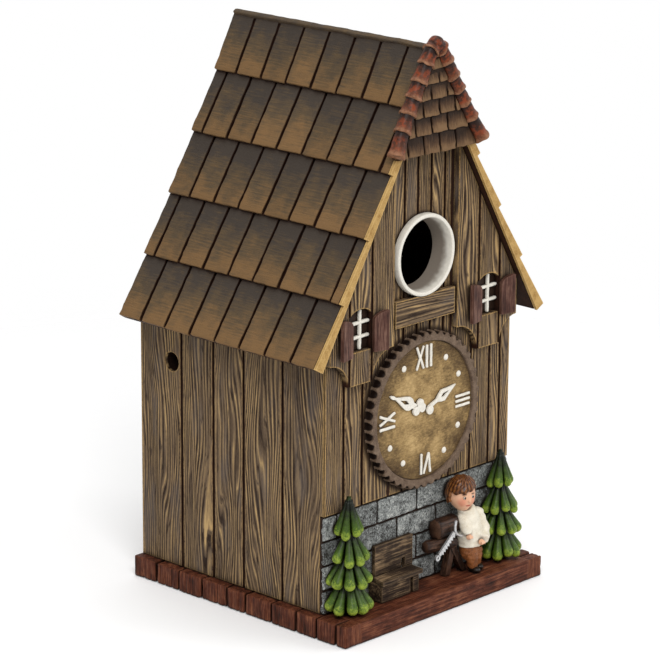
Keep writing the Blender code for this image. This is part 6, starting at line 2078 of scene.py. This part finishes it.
def chosen(context):
    """Sizes and colours as the user has set them."""
    return context.scene.birdhouse_sizes, context.scene.birdhouse_colours


def taken(colours, family, *levels):
    """Colours of one family, as plain tuples."""
    return [tuple(getattr(colours, family + "_" + level)) for level in levels]


def range_of(colours, family):
    """Five shades of one family."""
    return five_shades(*taken(colours, family, *SHADES))


class BIRDHOUSE_OT_stage(bpy.types.Operator):
    """Sets the floor, the lamps and the camera"""

    bl_idname = "birdhouse.stage"
    bl_label = "Stage"
    bl_options = {"REGISTER", "UNDO"}

    def execute(self, context):
        sizes = context.scene.birdhouse_sizes
        set_floor()
        set_world(sizes.ambient)
        set_lamps(sizes)
        set_camera()
        return {"FINISHED"}


class BIRDHOUSE_OT_roof(bpy.types.Operator):
    """Lays the shingles on both slopes and paints the verges"""

    bl_idname = "birdhouse.roof"
    bl_label = "Roof"
    bl_options = {"REGISTER", "UNDO"}

    def execute(self, context):
        sizes, colours = chosen(context)
        shades = taken(colours, "shingle", "top", "middle", "foot", "joint")
        paint = shingle_paint("shingles", *shades)
        bed = cast_paint("shingle bed", *BED_SHADES)
        for side, name in SIDES:
            make_slope(side, "shingles_" + name, "roof_slope_" + name, sizes.shingle_joint, paint, bed)
        verge = verge_paint(*taken(colours, "verge", "dark", "bright"))
        dress(verge, "verge", "verge_board_left", "verge_board_right", edge=sizes.edge_rounding)
        return {"FINISHED"}


class BIRDHOUSE_OT_walls(bpy.types.Operator):
    """Paints the four walls, the hatch and its guides as carved planks"""

    bl_idname = "birdhouse.walls"
    bl_label = "Walls and hatch"
    bl_options = {"REGISTER", "UNDO"}

    def execute(self, context):
        sizes, colours = chosen(context)
        shades = range_of(colours, "wall")
        carving = (sizes.grain_pitch, sizes.grain_depth)
        edge = sizes.edge_rounding
        front = wood_paint(
            "front planks", "X", "Z", FRONT_JOINTS, shades, *carving, rim=0.6, shade_rings=FRONT_SHADE_RINGS
        )
        back = wood_paint("back planks", "X", "Z", BACK_JOINTS, shades, *carving, rim=0.6)
        side = wood_paint(
            "side planks", "Y", "Z", SIDE_JOINTS, shades, *carving, rim=0.6, face=SIDE_FACE
        )
        dress(front, "wall_planks", "front_wall", edge=edge)
        dress(back, "wall_planks", "back_wall", edge=edge)
        dress(side, "wall_planks", "side_wall_left", "side_wall_right", edge=edge)
        hatch = wood_paint("hatch planks", "X", "Z", (), shades, *carving, warp=9.0)
        dress(hatch, "wall_planks", "clean_out_hatch", edge=edge)
        guides = streaked_paint("guide timber", "Z", range_of(colours, "timber"), sizes.timber_depth)
        dress(guides, "dark_timber", "hatch_guide_left", "hatch_guide_right", edge=edge)
        return {"FINISHED"}


class BIRDHOUSE_OT_base(bpy.types.Operator):
    """Builds the rough-hewn base"""

    bl_idname = "birdhouse.base"
    bl_label = "Base"
    bl_options = {"REGISTER", "UNDO"}

    def execute(self, context):
        sizes, colours = chosen(context)
        shades = range_of(colours, "base")
        blocks = streaked_paint("base blocks", "Z", shades)
        board = streaked_paint("base board", "X", shades)
        make_base(sizes.base_joint, blocks, board)
        return {"FINISHED"}


class BIRDHOUSE_OT_stones(bpy.types.Operator):
    """Builds the stone blocks at the foot of the front"""

    bl_idname = "birdhouse.stones"
    bl_label = "Stone band"
    bl_options = {"REGISTER", "UNDO"}

    def execute(self, context):
        sizes, colours = chosen(context)
        stone = stone_paint(*taken(colours, "stone", *SHADES))
        make_stone_band(sizes.stone_joint, stone, mortar_paint())
        return {"FINISHED"}


class BIRDHOUSE_OT_gable(bpy.types.Operator):
    """Builds the hood of small shingles and its clay tiles"""

    bl_idname = "birdhouse.gable"
    bl_label = "Gable hood and tiles"
    bl_options = {"REGISTER", "UNDO"}

    def execute(self, context):
        sizes, colours = chosen(context)
        shades = taken(colours, "hood", "top", "middle", "foot", "joint")
        make_hood(sizes.hood_joint, shingle_paint("hood shingles", *shades, brush=(1.2, 0.16, 1.0)))
        tiles = tile_paint(*taken(colours, "clay", *SHADES, "heart"))
        for side, name in SIDES:
            make_rake_tiles(side, "tiles_" + name, "rake_tiles_" + name, tiles)
        make_apex_tile(tiles)
        return {"FINISHED"}


class BIRDHOUSE_OT_wings(bpy.types.Operator):
    """Paints the wing panels, shutters and ledge, and builds the windows and the entry ring"""

    bl_idname = "birdhouse.wings"
    bl_label = "Wings, windows and entry"
    bl_options = {"REGISTER", "UNDO"}

    def execute(self, context):
        sizes, colours = chosen(context)
        shades = range_of(colours, "wall")
        carving = (sizes.grain_pitch, sizes.grain_depth)
        edge = sizes.edge_rounding
        wings = wood_paint("wing planks", "X", "Z", WING_JOINTS, shades, *carving, rim=0.95)
        dress(wings, "pale_planks", "wing_panel_left", "wing_panel_right", edge=edge)
        ledge = wood_paint("ledge planks", "Z", "X", (), shades, *carving, warp=9.0, rim=0.95)
        dress(ledge, "pale_planks", "ledge_board", edge=edge)
        shutters = streaked_paint("shutter paint", "Z", range_of(colours, "shutter"), 0.0002, coat=0.05)
        dress(shutters, "shutter_paint", *SHUTTERS, edge=edge)
        # The second colour is the brown of the wash and painted shade on white pieces and the sleeve.
        shade, wash = tuple(colours.white), tuple(colours.white_wash)
        white = white_paint("white paint", shade, wash)
        pane = cast_paint("window dark", *PANE_SHADES, roughness=0.4)
        for side, name in SIDES:
            make_window(side, white, pane, "bars_" + name, "window_bars_" + name)
        make_entry_ring(sizes.sleeve_depth, sizes.ring_rounding, sleeve_paint(shade, wash))
        return {"FINISHED"}


class BIRDHOUSE_OT_dial(bpy.types.Operator):
    """Paints the dial and its hands, and builds its frame and numerals"""

    bl_idname = "birdhouse.dial"
    bl_label = "Clock dial"
    bl_options = {"REGISTER", "UNDO"}

    def execute(self, context):
        sizes, colours = chosen(context)
        face = dial_paint((0, DIAL_HEIGHT), *taken(colours, "dial", *SHADES))
        dress(face, "dial_paint", "dial_face")
        make_dial_frame(sizes.scoop_depth, frame_paint(*taken(colours, "frame", "dark", "bright")))
        white = white_paint("dial white", tuple(colours.white), tuple(colours.white_wash))
        make_dial_marks(sizes.numeral_height, white)
        dress(white, "white_paint", "minute_hand", "hour_hand", edge=sizes.edge_rounding)
        return {"FINISHED"}


class BIRDHOUSE_OT_trees(bpy.types.Operator):
    """Grows the two fir trees"""

    bl_idname = "birdhouse.trees"
    bl_label = "Fir trees"
    bl_options = {"REGISTER", "UNDO"}

    def execute(self, context):
        colours = context.scene.birdhouse_colours
        paint = fir_paint(*taken(colours, "fir", *SHADES))
        for side, x, height, spread, turn in TREES:
            make_tree("fir_" + side, "fir_tree_" + side, x, height, spread, turn, paint)
        return {"FINISHED"}


class BIRDHOUSE_OT_woodwork(bpy.types.Operator):
    """Paints the bench, sawhorse and saw, and builds the logs"""

    bl_idname = "birdhouse.woodwork"
    bl_label = "Bench, sawhorse and logs"
    bl_options = {"REGISTER", "UNDO"}

    def execute(self, context):
        sizes, colours = chosen(context)
        edge = sizes.edge_rounding
        bench = streaked_paint("bench timber", "X", range_of(colours, "timber"), sizes.timber_depth)
        dress(bench, "dark_timber", *BENCH_NODES, edge=edge)
        shades = range_of(colours, "log")
        rail = streaked_paint("sawhorse timber", "Z", shades, sizes.timber_depth, 0.4, 0.15)
        dress(rail, "dark_timber", "sawhorse", edge=edge)
        bark = streaked_paint("bark", "X", shades, sizes.timber_depth, 0.4, 0.15)
        sawn = cast_paint("sawn end", shades[1], shades[3], shades[4], 0.9, roughness=0.45)
        ridges = sizes.bark_depth
        make_log("log_lower", "lower_log", LOWER_LOG, LOWER_LOG_RADIUS, 1.0, ridges, 3, bark, sawn)
        flat = UPPER_LOG_FLAT
        make_log("log_upper", "upper_log", UPPER_LOG, UPPER_LOG_RADIUS, flat, ridges, 7, bark, sawn)
        dress(silver_paint(), "silver_paint", "saw_blade", "saw_bow")
        return {"FINISHED"}


class BIRDHOUSE_OT_figure(bpy.types.Operator):
    """Models the small figurine"""

    bl_idname = "birdhouse.figure"
    bl_label = "Figurine"
    bl_options = {"REGISTER", "UNDO"}

    def execute(self, context):
        sizes, colours = chosen(context)
        skin = skin_paint(tuple(colours.skin), tuple(colours.blush))
        make_head(skin)
        make_eyes(eye_paint())
        make_lips(cast_paint("lips", *LIP_SHADES, 2.0))
        make_hair(sizes.strand_depth, hair_paint(*taken(colours, "hair", *SHADES)))
        dark, bright = taken(colours, "jumper", "dark", "bright")
        shades = (dark, between(dark, bright, 0.65), bright)
        wool = cast_paint("jumper", *shades, 1.0, 0.00012, 0.45, 0.12, 0.7)
        make_jumper(sizes.fold_depth, wool)
        dark, bright = taken(colours, "trousers", "dark", "bright")
        shades = (dark, between(dark, bright), bright)
        make_trousers(cast_paint("trousers", *shades, 0.7, 0.0001, 0.35, 0.2))
        make_shoes(cast_paint("shoes", *LEATHER_SHADES, 0.8, 0.0001, 0.3, 0.2))
        for name, centre in HANDS:
            make_hand(name, centre, skin)
        return {"FINISHED"}


OPERATORS = (
    BIRDHOUSE_OT_stage,
    BIRDHOUSE_OT_roof,
    BIRDHOUSE_OT_walls,
    BIRDHOUSE_OT_base,
    BIRDHOUSE_OT_stones,
    BIRDHOUSE_OT_gable,
    BIRDHOUSE_OT_wings,
    BIRDHOUSE_OT_dial,
    BIRDHOUSE_OT_trees,
    BIRDHOUSE_OT_woodwork,
    BIRDHOUSE_OT_figure,
)


class BIRDHOUSE_PT_pieces(bpy.types.Panel):
    """Lists the pieces, their colours and their sizes"""

    bl_idname = "BIRDHOUSE_PT_pieces"
    bl_label = "Cuckoo clock birdhouse"
    bl_space_type = "VIEW_3D"
    bl_region_type = "UI"
    bl_category = "Birdhouse"

    def draw(self, context):
        for operator in OPERATORS:
            self.layout.operator(operator.bl_idname)
        for group in (context.scene.birdhouse_sizes, context.scene.birdhouse_colours):
            for name in group.bl_rna.properties.keys():
                if name not in ("rna_type", "name"):
                    self.layout.prop(group, name)


CLASSES = (BirdhouseSizes, BirdhouseColours, *OPERATORS, BIRDHOUSE_PT_pieces)


def register():
    for made in CLASSES:
        bpy.utils.register_class(made)
    bpy.types.Scene.birdhouse_sizes = bpy.props.PointerProperty(type=BirdhouseSizes)
    bpy.types.Scene.birdhouse_colours = bpy.props.PointerProperty(type=BirdhouseColours)


def unregister():
    del bpy.types.Scene.birdhouse_colours
    del bpy.types.Scene.birdhouse_sizes
    for made in reversed(CLASSES):
        bpy.utils.unregister_class(made)


def main():
    register()
    for operator in OPERATORS:
        getattr(bpy.ops.birdhouse, operator.bl_idname.split(".")[1])()


if __name__ == "__main__":
    main()
